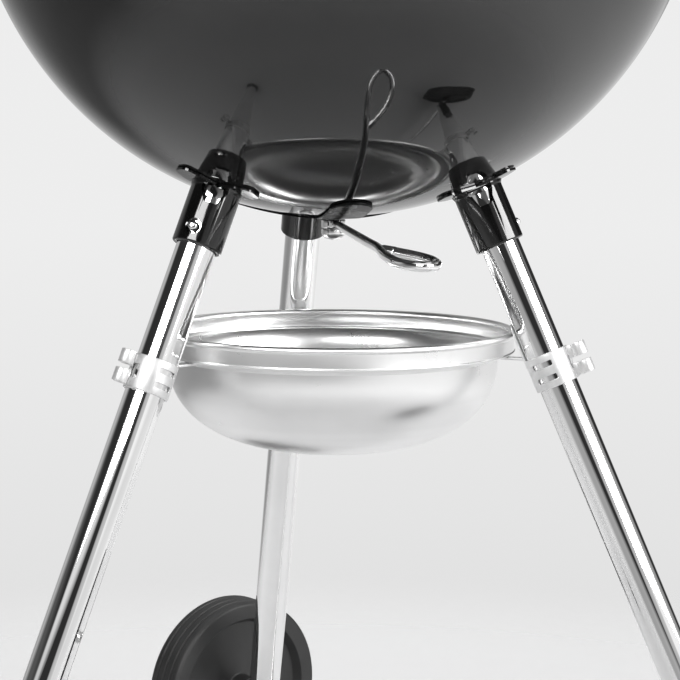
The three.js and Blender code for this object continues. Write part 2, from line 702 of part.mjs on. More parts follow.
function lidHandle() {
  const top = LID_CENTRE_Z + LID_R;
  const half = 62;
  const rightSide = [[half - 6, top - 12], [half - 3, top + 22]];
  const rightCorner = arc(half - 20, top + LID_HANDLE_HEIGHT - 20, 20, 0, 90, 4);
  const rightHalf = [...rightSide, ...rightCorner];
  const leftHalf = rightHalf.map(([x, z]) => [-x, z]).reverse();
  const block = sidePlate([...rightHalf, ...leftHalf], 18, GRIP_BEVEL);
  const gapRight = [[30, top - 40], [34, top + 18], ...arc(24, top + 22, 10, 0, 90, 3)];
  const gapLeft = gapRight.map(([x, z]) => [-x, z]).reverse();
  const gap = sidePlate([...gapRight, ...gapLeft], 80);
  const hole = cylinder(2.9, top - 30, top + 14, 10);
  const holes = [-LID_SCREW_X, LID_SCREW_X].map((x) => moved(hole, x, 0, 0));
  add("lid_handle", cut(block, ball(LID_R + 0.5, LID_CENTRE_Z), gap, ...holes), "nylon");
  const screw = turnedSection(
    [
      [0, top - 13],
      [4.6, top - 12],
      [5.5, top - 9.4],
      [5.5, top - 8.2],
      [2.5, top - 8.2],
      [2.5, top + 12],
      [0, top + 12],
    ],
    SMALL_ROUND,
  );
  [-LID_SCREW_X, LID_SCREW_X].forEach((x, i) => {
    add("lid_screw_" + (i + 1), moved(screw, x, 0, 0), "platedSteel");
  });
}

function lidHook() {
  const reach = 148; // how far from the lid's middle the hook hangs down
  const top = LID_CENTRE_Z + Math.sqrt(LID_INNER_R ** 2 - reach * reach);
  const curl = top - 36;
  const strip = sidePlate(
    [
      [reach - 32, top + 30],
      [reach - 32, top + 11],
      [reach - 2, top - 5],
      [reach - 2, curl],
      ...arc(reach + 6, curl, 8, 180, 360, 5),
      [reach + 14, curl + 12],
      [reach + 12, curl + 12],
      ...arc(reach + 6, curl, 6, 360, 180, 5),
      [reach, top + 30],
    ],
    16,
  );
  const apex = [0, LID_CENTRE_Z + LID_INNER_R - FIT];
  const cavity = turnedSection([[0, RIM_Z], ...lidInside(FIT).reverse(), apex], BIG_ROUND);
  add("lid_hook", overlap(turned(strip, LEVER_TURN - 15), cavity), "platedSteel");
}

function lidDamper() {
  const under = LID_R + 0.7;
  const over = under + 1.2;
  const angleAt = (r, R) => 90 - inDegrees(Math.asin(r / R));
  const disc = turnedSection(
    [
      ...arc(0, 0, under, angleAt(3.6, under), angleAt(DAMPER_R, under), 3),
      ...arc(0, 0, over, angleAt(DAMPER_R, over), angleAt(3.6, over), 3),
    ],
    20,
  );
  const tab = new THREE.BoxGeometry(2.4, 16, 12).translate(DAMPER_R - 5, 0, over + 3);
  const plateWithHoles = join(cut(disc, ...damperHoles(DAMPER_HOLE_R, 45)), tab);
  add("lid_damper", plateWithHoles.applyMatrix4(damperFrame), "aluminium");
  const rivet = turnedSection(
    [
      [0, LID_INNER_R - 4.2],
      [5, LID_INNER_R - 3.2],
      [5, LID_INNER_R - 1.3],
      [3, LID_INNER_R - 1.3],
      [3, over + 0.5],
      [6.4, over + 0.5],
      [5.4, over + 2.6],
      [0, over + 3.6],
    ],
    SMALL_ROUND,
  );
  add("damper_rivet", rivet.applyMatrix4(damperFrame), "chrome");
}

bowl();
legs();
wheels();
ashPan();
damper();
grates();
sideHandles();
lid();
lidHandle();
lidHook();
lidDamper();

// The origin is the centre of the whole grill's box, on the floor.
const part = new THREE.Group();
part.add(grill);
const box = new THREE.Box3().setFromObject(part, true);
grill.position.x = -(box.min.x + box.max.x) / 2;

export default part;
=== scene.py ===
from math import asin, atan2, cos, degrees, pi, radians, sin, sqrt, tan

import bmesh
import bpy
from mathutils import Matrix, Vector

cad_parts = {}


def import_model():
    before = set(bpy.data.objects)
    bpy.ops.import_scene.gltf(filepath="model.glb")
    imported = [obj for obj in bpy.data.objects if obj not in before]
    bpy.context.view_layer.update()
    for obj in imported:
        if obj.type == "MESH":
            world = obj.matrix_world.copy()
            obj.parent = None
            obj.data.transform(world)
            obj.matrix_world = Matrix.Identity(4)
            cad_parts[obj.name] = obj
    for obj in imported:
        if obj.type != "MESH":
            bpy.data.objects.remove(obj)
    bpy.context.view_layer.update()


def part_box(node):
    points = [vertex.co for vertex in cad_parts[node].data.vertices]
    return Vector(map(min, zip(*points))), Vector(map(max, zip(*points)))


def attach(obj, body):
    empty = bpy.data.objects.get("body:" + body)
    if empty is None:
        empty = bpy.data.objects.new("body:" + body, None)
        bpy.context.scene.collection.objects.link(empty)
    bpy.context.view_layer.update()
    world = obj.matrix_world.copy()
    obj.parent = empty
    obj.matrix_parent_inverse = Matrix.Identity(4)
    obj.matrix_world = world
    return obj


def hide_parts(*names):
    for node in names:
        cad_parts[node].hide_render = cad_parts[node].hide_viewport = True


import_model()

# Lengths are in millimetres until mesh() turns them into metres.
MM = 0.001

# ---------- sizes, taken from the frame where a node gives them ----------
pan_low, pan_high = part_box("ash_pan")
bowl_low, bowl_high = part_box("bowl")
AXIS_X = (pan_low.x + pan_high.x) / 2  # metres: the bowl's axis
RIM_Z = round(bowl_high.z / MM)
POLE_Z = round(bowl_low.z / MM)
BOWL_R = 237
WALL = 2
BOWL_Z = POLE_Z + BOWL_R  # height of the sphere's centre
TILT = radians(24.2)
FLANGE_AT = BOWL_R * sin(TILT)
FLANGE_Z = BOWL_Z - BOWL_R * cos(TILT)
TUBE_R = 12.7
SOCKET_R = 16.1
SOCKET_LENGTH = 41
BUTTON_TURN = 30
BUTTON_DROP = 31
BUTTON_HOLE_R = 3.4
WINDOW_TURN = 50
THIRDS = (0, 120, 240)
PAN_TOP_Z = POLE_Z - 74
CLIP_Z = PAN_TOP_Z - 21.4
PAN_RIM = 14.5  # from the pan's top to the underside of its rim
WHEEL_R = 76
WHEEL_HALF = 17
WHEEL_GAP = 24  # from the leg's axis to the inner face of the wheel
AXLE_BORE_R = 5.2
HANDLE_Z = 656
HANDLE_SCREWS_Y = (-46, 46)
COOKING_GRATE_Z = 634.3
COOKING_GRATE_R = 208
CHARCOAL_GRATE_Z = 571
CHARCOAL_GRATE_R = 167
GRATE_RING_R = 2.5
LID_R = 252
LID_Z = RIM_Z - 98
LID_SEAT = RIM_Z + 0.5
LEVER_Z = POLE_Z - 5
LEVER_TURN = 239
SPINDLE_R = 4
SPINDLE_BORE_R = 4.4
LID_SCREWS_X = (-43, 43)
VENT_TILT = asin(120 / LID_R)
LEGS = {"plain": 180, "wheel_front": 300, "wheel_back": 60}


def leg_radius(z):
    return FLANGE_AT + (FLANGE_Z - z) * tan(TILT)


def along_to(z):
    return (FLANGE_Z - z) / cos(TILT)


# the wheeled legs stand 60 degrees either side of +X
AXLE_X = leg_radius(WHEEL_R) / 2
AXLE_LEG_Y = leg_radius(WHEEL_R) * sqrt(3) / 2

# ---------- camera ----------
DISTANCE = 1.3
LENS = 103.66  # on a 36 mm sensor
CAMERA_Z = (PAN_TOP_Z + 142) * MM
PITCH = radians(-6.62)
ROLL = radians(0.31)
YAW = radians(0.21)
VIEW_TURN = radians(30 + 11.08)  # clockwise from +Y, seen from above


def add_camera():
    right = Vector((cos(YAW), -sin(YAW), 0))
    level = Vector((sin(YAW), cos(YAW), 0))
    up = -level * sin(PITCH) + Vector((0, 0, 1)) * cos(PITCH)
    ahead = level * cos(PITCH) + Vector((0, 0, 1)) * sin(PITCH)
    side = right * cos(ROLL) + up * sin(ROLL)
    top = up * cos(ROLL) - right * sin(ROLL)
    axes = Matrix((side, top, -ahead)).transposed().to_4x4()
    turn = Matrix.Rotation(-VIEW_TURN, 4, "Z")
    place = Matrix.Translation((0, -DISTANCE, CAMERA_Z)) @ axes
    data = bpy.data.cameras.new("camera")
    data.sensor_width = 36
    data.lens = LENS
    data.clip_end = 100
    camera = bpy.data.objects.new("camera", data)
    bpy.context.scene.collection.objects.link(camera)
    camera.matrix_world = Matrix.Translation((AXIS_X, 0, 0)) @ turn @ place
    bpy.context.scene.camera = camera


add_camera()


# ---------- materials ----------
def add_node(tree, kind, inputs=(), **settings):
    """A shader node; an input takes a plain value or another node's output."""
    node = tree.nodes.new("ShaderNode" + kind)
    for key, value in settings.items():
        setattr(node, key, value)
    for key, value in dict(inputs).items():
        if isinstance(value, bpy.types.NodeSocket):
            tree.links.new(value, node.inputs[key])
        else:
            node.inputs[key].default_value = value
    return node


class Nodes:
    """A material's node tree, with short calls for the nodes that the finishes share."""

    def __init__(self, name):
        self.material = bpy.data.materials.new(name)
        self.material.use_nodes = True
        self.tree = self.material.node_tree
        self.shader = self.tree.nodes["Principled BSDF"]
        self.coords = self.tree.nodes.new("ShaderNodeTexCoord").outputs["Object"]

    def new(self, kind, inputs=(), **settings):
        return add_node(self.tree, kind, inputs, **settings)

    def stretched(self, scale):
        return self.new("Mapping", {"Vector": self.coords, "Scale": scale}).outputs["Vector"]

    def rings(self, scale):
        """Coordinates that are the same all round the object's own Z axis."""
        split = self.new("SeparateXYZ", {"Vector": self.coords})
        x, y, z = (split.outputs[key] for key in "XYZ")
        square = self.new("Math", {0: x, 1: x}, operation="MULTIPLY").outputs[0]
        total = self.new("Math", {0: y, 1: y, 2: square}, operation="MULTIPLY_ADD").outputs[0]
        radius = self.new("Math", {0: total}, operation="SQRT").outputs[0]
        around = self.new("CombineXYZ", {"X": radius, "Y": 0.0, "Z": z}).outputs[0]
        return self.new("VectorMath", {0: around, "Scale": scale}, operation="SCALE").outputs[0]

    def noise(self, vector, scale, detail=4.0, roughness=0.55):
        inputs = {"Vector": vector, "Scale": scale, "Detail": detail, "Roughness": roughness}
        return self.new("TexNoise", inputs).outputs["Fac"]

    def ranged(self, value, low, high, start=0.3, end=0.7):
        inputs = {"Value": value, "From Min": start, "From Max": end, "To Min": low, "To Max": high}
        return self.new("MapRange", inputs).outputs["Result"]

    def tinted(self, value, dark, light):
        ramp = self.new("ValToRGB", {"Fac": value})
        ramp.color_ramp.elements[0].color = (*dark, 1)
        ramp.color_ramp.elements[1].color = (*light, 1)
        ramp.color_ramp.elements[0].position = 0.3
        ramp.color_ramp.elements[1].position = 0.7
        return ramp.outputs["Color"]

    def bump(self, height, distance, strength=1.0, normal=None):
        inputs = {"Height": height, "Distance": distance, "Strength": strength}
        if normal is not None:
            inputs["Normal"] = normal
        return self.new("Bump", inputs).outputs["Normal"]

    def link(self, **sockets):
        for name, value in sockets.items():
            self.tree.links.new(value, self.shader.inputs[name.replace("_", " ")])

    def set(self, **sockets):
        for name, value in sockets.items():
            self.shader.inputs[name.replace("_", " ")].default_value = value


def grey(value, warmth=0.0):
    return (value * (1 + warmth), value, value * (1 - warmth))


def enamel():
    """Porcelain enamel: deep black glass with a faint ripple and dust-fine unevenness."""
    n = Nodes("porcelain_enamel")
    ripple = n.noise(n.coords, 55, 2)
    fine = n.noise(n.coords, 900, 3)
    cloud = n.noise(n.coords, 14, 5)
    normal = n.bump(ripple, 0.00005, 0.6)
    normal = n.bump(fine, 0.000004, 0.5, normal)
    n.link(
        Base_Color=n.tinted(cloud, grey(0.006), grey(0.012)),
        Roughness=n.ranged(cloud, 0.03, 0.07),
        Normal=normal,
    )
    n.set(IOR=1.62)
    return n.material


def gloss_paint():
    n = Nodes("gloss_paint")
    peel = n.noise(n.coords, 420, 2)
    cloud = n.noise(n.coords, 60, 4)
    n.link(
        Base_Color=n.tinted(cloud, grey(0.006), grey(0.014)),
        Roughness=n.ranged(cloud, 0.05, 0.11),
        Normal=n.bump(peel, 0.00001, 0.5),
    )
    n.set(IOR=1.55)
    return n.material


def bright_metal(name, base, rough, stretch=(1, 1, 1), scale=600, depth=0.000002):
    """Polished or plated metal with fine polishing lines and a little cloudiness."""
    n = Nodes(name)
    lines = n.noise(n.stretched(stretch), scale, 4)
    cloud = n.noise(n.coords, 35, 5)
    n.link(
        Base_Color=n.tinted(cloud, grey(base * 0.94), grey(base)),
        Roughness=n.ranged(cloud, rough * 0.75, rough * 1.35),
        Normal=n.bump(lines, depth, 0.6),
    )
    n.set(Metallic=1.0)
    return n.material


def spun_metal(name, base, low, high, scale=800, depth=0.000006):
    """Satin sheet metal with fine rings from spinning and a soft handled cloudiness."""
    n = Nodes(name)
    rings = n.noise(n.rings(1.0), scale, 2)
    bands = n.noise(n.rings(1.0), scale / 12, 3)
    cloud = n.noise(n.stretched((1, 1, 1.8)), 11, 5)
    scuff = n.noise(n.stretched((1.0, 0.35, 1.0)), 85, 6, 0.7)
    rough = n.new("Math", {0: n.ranged(cloud, low, high), 1: n.ranged(scuff, -0.015, 0.015)})
    tone = n.new("Math", {0: cloud, 1: bands}, operation="MULTIPLY_ADD")
    tone.inputs[2].default_value = 0.22
    n.link(
        Base_Color=n.tinted(tone.outputs[0], grey(base * 0.9), grey(base)),
        Roughness=rough.outputs[0],
        Normal=n.bump(rings, depth, 0.5),
    )
    n.set(Metallic=1.0, Anisotropic=0.35)
    return n.material


def zinc(name="zinc_plate", base=0.62):
    n = Nodes(name)
    spangle = n.noise(n.coords, 160, 3)
    pits = n.noise(n.coords, 1300, 4)
    n.link(
        Base_Color=n.tinted(spangle, grey(base * 0.82), grey(base)),
        Roughness=n.ranged(spangle, 0.24, 0.4),
        Normal=n.bump(pits, 0.00001, 0.5),
    )
    n.set(Metallic=1.0)
    return n.material


def clip_metal():
    n = Nodes("clip_metal")
    cloud = n.noise(n.coords, 120, 4)
    rolled = n.noise(n.stretched((1, 1, 9)), 420, 3)
    n.link(
        Base_Color=n.tinted(cloud, grey(0.78), grey(0.88)),
        Roughness=n.ranged(cloud, 0.36, 0.46),
        Normal=n.bump(rolled, 0.000008, 0.5),
    )
    n.set(Metallic=0.3)
    return n.material


def moulded(name, dark, light, rough, grain=2600, depth=0.00004, ior=1.5):
    """Moulded plastic with a fine etched grain, rubbed a little smoother in patches."""
    n = Nodes(name)
    etched = n.noise(n.coords, grain, 3)
    cloud = n.noise(n.coords, 45, 4)
    n.link(
        Base_Color=n.tinted(cloud, grey(dark), grey(light)),
        Roughness=n.ranged(cloud, rough - 0.09, rough + 0.08),
        Normal=n.bump(etched, depth, 0.7),
    )
    n.set(IOR=ior)
    return n.material


ENAMEL = enamel()
PAINT = gloss_paint()
SATIN_BLACK = moulded("satin_black", 0.006, 0.011, 0.3, 900, 0.000006, 1.16)
TUBE_METAL = bright_metal("polished_tube", 0.9, 0.03, (1, 1, 0.02), 1400, 0.0000006)
CHROME = bright_metal("chrome_plate", 0.9, 0.035, scale=300)
NUT_METAL = bright_metal("satin_chrome", 0.9, 0.2, scale=500)
PAN_METAL = spun_metal("spun_aluminium", 0.93, 0.27, 0.32)
VENT_METAL = spun_metal("vent_aluminium", 0.8, 0.26, 0.36, 1200)
CLIP_METAL = clip_metal()
ZINC = zinc()
GRATE_METAL = zinc("plated_wire", 0.7)
NYLON = moulded("handle_nylon", 0.012, 0.022, 0.48)
RUBBER = moulded("foot_plastic", 0.010, 0.018, 0.58, 1700, 0.00006)
WHEEL_PLASTIC = moulded("wheel_plastic", 0.014, 0.026, 0.55, 1500, 0.00006)


# ---------- outlines ----------
def arc(cx, cy, r, start, end, steps):
    turn = (end - start) / steps
    return [
        (cx + r * cos(radians(start + turn * i)), cy + r * sin(radians(start + turn * i)))
        for i in range(steps + 1)
    ]


def rounded(points, steps=5, closed=True):
    """An outline whose points may carry a third number, the radius that rounds that corner."""
    out = []
    count = len(points)
    for i, point in enumerate(points):
        here = Vector(point[:2])
        radius = point[2] if len(point) > 2 else 0
        if not radius or (not closed and i in (0, count - 1)):
            out.append(tuple(here))
            continue
        before = (Vector(points[i - 1][:2]) - here).normalized()
        after = (Vector(points[(i + 1) % count][:2]) - here).normalized()
        angle = before.angle(after)
        if angle > pi - 1e-3:
            out.append(tuple(here))
            continue
        reach = radius / tan(angle / 2)
        middle = here + (before + after).normalized() * (radius / sin(angle / 2))
        first = here + before * reach - middle
        last = here + after * reach - middle
        sweep = first.angle(last)
        side = 1 if first.x * last.y - first.y * last.x > 0 else -1
        base = atan2(first.y, first.x)
        for k in range(steps + 1):
            a = base + side * sweep * k / steps
            out.append((middle.x + radius * cos(a), middle.y + radius * sin(a)))
    return out


def stadium(near, far, half, steps=12):
    return arc(far, 0, half, -90, 90, steps) + arc(near, 0, half, 90, 270, steps)


def circle_path(r, z, steps=128):
    return [(r * cos(2 * pi * i / steps), r * sin(2 * pi * i / steps), z) for i in range(steps)]


def turned(points, angle):
    c, s = cos(radians(angle)), sin(radians(angle))
    return [(x * c - y * s, x * s + y * c) for x, y in points]


# ---------- meshes ----------
def mesh(verts, faces):
    data = bpy.data.meshes.new("work")
    data.from_pydata([Vector(v) * MM for v in verts], [], faces)
    data.validate()
    return data


def outward(data):
    """Faces turned out on every closed part of the mesh."""
    bm = bmesh.new()
    bm.from_mesh(data)
    bmesh.ops.remove_doubles(bm, verts=bm.verts, dist=1e-7)
    bmesh.ops.recalc_face_normals(bm, faces=bm.faces)
    bm.to_mesh(data)
    bm.free()
    return data


def lathe(points, segments=96):
    """A turned body about Z: a section that starts and ends on the axis, or closes on itself."""
    on_axis = points[0][0] < 1e-6
    count = len(points)
    verts, rows = [], []
    for r, z in points:
        if r < 1e-6:
            rows.append([len(verts)] * segments)
            verts.append((0, 0, z))
        else:
            rows.append(list(range(len(verts), len(verts) + segments)))
            verts += circle_path(r, z, segments)
    faces = []
    for i in range(count - 1 if on_axis else count):
        low, high = rows[i], rows[(i + 1) % count]
        for k in range(segments):
            n = (k + 1) % segments
            face = [low[k], low[n], high[n], high[k]]
            face = [v for j, v in enumerate(face) if v != face[j - 1]]
            if len(face) > 2:
                faces.append(face)
    return outward(mesh(verts, faces))


def prism(points, low, high):
    """A flat outline in X and Y, raised from low to high."""
    count = len(points)
    verts = [(x, y, low) for x, y in points] + [(x, y, high) for x, y in points]
    faces = [list(range(count))[::-1], list(range(count, 2 * count))]
    faces += [[i, (i + 1) % count, (i + 1) % count + count, i + count] for i in range(count)]
    return outward(mesh(verts, faces))


def rounded_lathe(points, steps, segments):
    """A turned body whose section has rounded corners."""
    return lathe(rounded(points, steps, closed=points[0][0] > 0), segments)


def cylinder(r, low, high, segments):
    return lathe([(0, low), (r, low), (r, high), (0, high)], segments)


def side_prism(points, width):
    """An outline in X and Z, centred on Y = 0."""
    return placed(prism(points, -width / 2, width / 2), spin(90, "X"))


def smooth_path(points, steps=8, closed=False):
    """A Catmull-Rom curve through the points."""
    pts = [Vector(p) for p in points]
    count = len(pts)
    out = []
    for i in range(count if closed else count - 1):
        p1, p2 = pts[i], pts[(i + 1) % count]
        p0 = pts[i - 1] if closed or i else p1 * 2 - p2
        p3 = pts[(i + 2) % count] if closed or i + 2 < count else p2 * 2 - p1
        for k in range(steps):
            t = k / steps
            out.append(
                0.5
                * (
                    2 * p1
                    + (p2 - p0) * t
                    + (2 * p0 - 5 * p1 + 4 * p2 - p3) * t * t
                    + (3 * p1 - p0 - 3 * p2 + p3) * t**3
                )
            )
    if not closed:
        out.append(pts[-1])
    return out


def wire(path, radius, sides=14, closed=False):
    """A round wire along the path, with domed ends."""
    pts = [Vector(p) for p in path]
    count = len(pts)
    frames = []
    normal = None
    for i, p in enumerate(pts):
        ahead = pts[(i + 1) % count] if closed or i + 1 < count else p
        behind = pts[i - 1] if closed or i else p
        along = (ahead - behind).normalized()
        if normal is None:
            normal = along.orthogonal().normalized()
        normal = (normal - along * normal.dot(along)).normalized()
        frames.append((p, along, normal, along.cross(normal)))
    rings = [(p, u, v, radius) for p, _, u, v in frames]
    if closed:
        # spread the twist that is left over where the ring meets itself
        _, along, first_u, first_v = frames[0]
        last = frames[-1][2]
        twist = atan2(last.dot(first_v), last.dot(first_u))
        rings = []
        for i, (p, a, u, v) in enumerate(frames):
            turn = Matrix.Rotation(-twist * i / count, 3, a)
            rings.append((p, turn @ u, turn @ v, radius))
    else:
        for end, sign in ((0, -1), (-1, 1)):
            p, along, u, v = frames[end]
            caps = [
                (p + along * sign * radius * sin(a), u, v, radius * cos(a))
                for a in (radians(30), radians(60), radians(85))
            ]
            rings = rings + caps if sign > 0 else caps[::-1] + rings
    verts = [
        p + (u * cos(2 * pi * k / sides) + v * sin(2 * pi * k / sides)) * r
        for p, u, v, r in rings
        for k in range(sides)
    ]
    faces = []
    total = len(rings)
    for i in range(total if closed else total - 1):
        a, b = i * sides, (i + 1) % total * sides
        faces += [[a + k, a + (k + 1) % sides, b + (k + 1) % sides, b + k] for k in range(sides)]
    if not closed:
        faces.append(list(range(sides))[::-1])
        faces.append(list(range((total - 1) * sides, total * sides)))
    return outward(mesh(verts, faces))


def joined(meshes):
    """Several meshes as one, each staying a closed part."""
    bm = bmesh.new()
    for data in meshes:
        bm.from_mesh(data)
    out = bpy.data.meshes.new("work")
    bm.to_mesh(out)
    bm.free()
    return out


def spin(angle, axis="Z"):
    return Matrix.Rotation(radians(angle), 4, axis)


def moved(x=0, y=0, z=0):
    return Matrix.Translation(Vector((x, y, z)) * MM)


def copies(data, angles):
    return [placed(data, spin(a)) for a in angles]


def placed(data, matrix):
    out = data.copy()
    out.transform(matrix)
    return out


def shifted(data, x=0, y=0, z=0):
    return placed(data, moved(x, y, z))


def modified(data, kind, settings):
    """The mesh with one modifier applied."""
    obj = bpy.data.objects.new("work", data)
    bpy.context.scene.collection.objects.link(obj)
    modifier = obj.modifiers.new(kind, kind)
    for key, value in settings.items():
        setattr(modifier, key, value)
    graph = bpy.context.evaluated_depsgraph_get()
    out = bpy.data.meshes.new_from_object(obj.evaluated_get(graph))
    bpy.data.objects.remove(obj)
    return out


def boolean(data, tools, operation):
    tool = bpy.data.objects.new("tool", joined(tools))
    bpy.context.scene.collection.objects.link(tool)
    settings = {"object": tool, "operation": operation, "solver": "EXACT", "use_self": True}
    out = modified(data, "BOOLEAN", settings)
    bpy.data.objects.remove(tool)
    return out


def cut(data, *tools):
    return boolean(data, tools, "DIFFERENCE")


def united(data, *tools):
    return boolean(data, tools, "UNION")


def common(data, *tools):
    return boolean(data, tools, "INTERSECT")


def softened(data, width, segments=3, angle=32):
    """The mesh with its sharp edges rounded."""
    settings = {
        "width": width * MM,
        "segments": segments,
        "limit_method": "ANGLE",
        "angle_limit": radians(angle),
        "use_clamp_overlap": True,
    }
    return modified(data, "BEVEL", settings)


ON_AXIS = Matrix.Translation((AXIS_X, 0, 0))


def piece(name, data, material, body, nodes, place=ON_AXIS, sharp=40):
    data.name = name
    data.materials.clear()
    data.materials.append(material)
    data.shade_smooth()
    data.set_sharp_from_angle(angle=radians(sharp))
    obj = bpy.data.objects.new(name, data)
    bpy.context.scene.collection.objects.link(obj)
    obj.matrix_world = place
    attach(obj, body)
    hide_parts(*nodes)
    return obj


def radial_normals(obj, centre_z, outer, inner):
    """True sphere normals on the two skins of a shell, so that holes don't spoil its reflections."""
    data = obj.data
    centre = Vector((0, 0, centre_z * MM))
    normals = [None] * len(data.loops)
    for polygon in data.polygons:
        radii = [(data.vertices[v].co - centre).length / MM for v in polygon.vertices]
        side = 0
        if all(abs(r - outer) < 0.02 for r in radii):
            side = 1
        elif all(abs(r - inner) < 0.02 for r in radii):
            side = -1
        for loop in polygon.loop_indices:
            vertex = data.vertices[data.loops[loop].vertex_index]
            if side:
                normals[loop] = (vertex.co - centre).normalized() * side
            else:
                normals[loop] = data.corner_normals[loop].vector.copy()
    data.normals_split_custom_set(normals)


# ---------- bowl ----------
def sphere_angle(out, radius):
    """The angle from the horizontal, negative, of the point of a sphere's underside this far out."""
    return degrees(asin(out / radius)) - 90


def bowl():
    inner = BOWL_R - WALL
    top = degrees(asin((RIM_Z - 8 - BOWL_Z) / BOWL_R))
    inner_top = degrees(asin((RIM_Z - 6 - BOWL_Z) / inner))
    section = (
        arc(0, BOWL_Z, BOWL_R, sphere_angle(9, BOWL_R), top, 64)
        + arc(231.5, RIM_Z - 4, 4, -80, 180, 14)
        + arc(0, BOWL_Z, inner, inner_top, sphere_angle(9, inner), 64)
    )
    shell = lathe(section, 192)
    vent = prism(stadium(40, 62, 8), POLE_Z - 20, POLE_Z + 60)
    vents = copies(vent, [LEVER_TURN + turn for turn in THIRDS])
    bolt = placed(cylinder(3.3, 190, 250, 24), spin(90, "Y"))
    bolts = [
        placed(shifted(bolt, 0, y, HANDLE_Z), spin(turn))
        for turn in (0, 180)
        for y in HANDLE_SCREWS_Y
    ]
    obj = piece("fine_bowl", cut(shell, *vents, *bolts), ENAMEL, "stand", ["bowl"])
    radial_normals(obj, BOWL_Z, BOWL_R, inner)


# ---------- legs and sockets ----------
def leg_place(turn):
    """Where a leg's own frame stands: its origin on the bowl, its Z axis up along the tube."""
    return ON_AXIS @ spin(turn) @ moved(FLANGE_AT, 0, FLANGE_Z) @ Matrix.Rotation(-TILT, 4, "Y")


def radial_hole(r, start, end, turn, drop):
    hole = placed(cylinder(r, start, end, 28), spin(turn) @ spin(90, "Y"))
    return shifted(hole, z=-drop)


def socket_mesh():
    """A sleeve whose top spreads into three ears that lie along the bowl, with windows between them."""
    inner = SOCKET_R - 2.9
    lip = SOCKET_R + 1.2
    sleeve = [(inner, -SOCKET_LENGTH, 0.7), (SOCKET_R, -SOCKET_LENGTH, 1.3), (SOCKET_R, -8)]
    sleeve += [(SOCKET_R, -4, 3), (lip, -1.4), (lip, 3), (inner, 3)]
    sleeve = rounded_lathe(sleeve, 5, 96)
    over, under = BOWL_R + 0.5, BOWL_R + 2
    reach = degrees(asin(40 / BOWL_R))
    shell = arc(0, BOWL_R, over, -90, reach - 90, 14) + arc(0, BOWL_R, under, reach - 90, -90, 14)
    shell = lathe(shell, 96)
    ears = []
    near = SOCKET_R + 3
    for turn in THIRDS:
        ear = [(0, -11, 0), (near, -10.5, 3), (near + 4, -8.2, 3), (29, -7.6, 5.5)]
        ear = rounded(ear + [(x, -y, r) for x, y, r in ear[::-1]], 8)
        ears.append(prism(turned(ear, WINDOW_TURN + 60 + turn), -9, 3))
    plan = united(ears[0], ears[1])
    flange = common(shell, united(plan, ears[2]))
    window = [(-8.4, 9), (-8.4, -5, 2), (-4.8, -14, 2), (4.8, -14, 2), (8.4, -5, 2), (8.4, 9)]
    window = placed(side_prism(rounded(window, 6), 16), spin(90))
    windows = copies(shifted(window, x=SOCKET_R + 1), [WINDOW_TURN + turn for turn in THIRDS])
    bore = cylinder(inner, -60, 8, 96)
    hole = radial_hole(5.2, SOCKET_R - 6, SOCKET_R + 4, BUTTON_TURN, BUTTON_DROP)
    sleeve = cut(sleeve, hole, *windows, shifted(ball(over + 0.5, 0), z=BOWL_R))
    return softened(united(cut(flange, bore), sleeve), 0.4, 3, 38)


def button_mesh():
    tip = SOCKET_R + 2.3
    low, high = TUBE_R - 4.2, TUBE_R - 3.1
    section = [(0, low), (4.4, low), (4.4, high, 0.3), (2.9, high)]
    section += [(2.9, tip - 0.9, 0.9), (1.5, tip - 0.45, 0.3), (1.3, tip, 0.35), (0, tip)]
    return placed(rounded_lathe(section, 4, 40), spin(90, "Y"))


def plate_outline(x, z, r, steps=4):
    """A rectangle about the origin, with rounded corners."""
    return rounded([(-x, -z, r), (x, -z, r), (x, z, r), (-x, z, r)], steps)


def clip_parts():
    """A band round the leg with slots, two curled lobes outside, and a tongue inside."""
    inner = TUBE_R + 0.35
    outer = inner + 1.5
    half = 11
    band = [(inner, -half, 0.3), (outer, -half, 0.5), (outer, half, 0.5), (inner, half, 0.3)]
    band = rounded_lathe(band, 3, 96)
    slot = side_prism(plate_outline(7, 1.8, 0.8), 60)
    slots = [shifted(slot, -1.5, 0, z) for z in (-4.6, 4.6)]
    window = placed(side_prism(plate_outline(4.3, 4.6, 1), 14), spin(90))
    window = shifted(window, x=outer)
    parts = [cut(band, *slots, window)]
    for z in (-6, 6):
        curl = [(outer - 0.6, -2.4), (outer + 2, -2.4)] + arc(outer + 7, 0, 4.4, 210, 480, 22)
        parts.append(ribbon([(x, y, z) for x, y in curl], 8.4, 1.1))
    tongue = rounded([(-4.2, 5, 0.6), (4.2, 5, 0.6), (4.2, 36.5, 3.6), (-4.2, 36.5, 3.6)], 8)
    tongue = placed(prism(tongue, 0, 1.2), spin(-90) @ spin(90, "X"))
    tongue = shifted(tongue, x=-inner)
    recess = placed(prism(stadium(-3.2, 3.2, 1.9), -4, 4), spin(90, "Y"))
    recess = shifted(recess, x=-inner - 4.6, z=26)
    parts.append(softened(cut(tongue, recess), 0.3, 2))
    return parts


def ribbon(path, width, thick):
    """A flat strip on edge: it follows the path in X and Y and is as tall as the width in Z."""
    pts = [Vector(p) for p in path]
    outer, inner = [], []
    for i, p in enumerate(pts):
        ahead = pts[min(i + 1, len(pts) - 1)]
        behind = pts[max(i - 1, 0)]
        along = (ahead - behind).normalized()
        side = Vector((-along.y, along.x, 0)) * thick / 2
        outer.append(p + side)
        inner.append(p - side)
    ring = [tuple(p)[:2] for p in outer + inner[::-1]]
    z = pts[0].z
    return softened(prism(ring, z - width / 2, z + width / 2), 0.25, 2, 50)


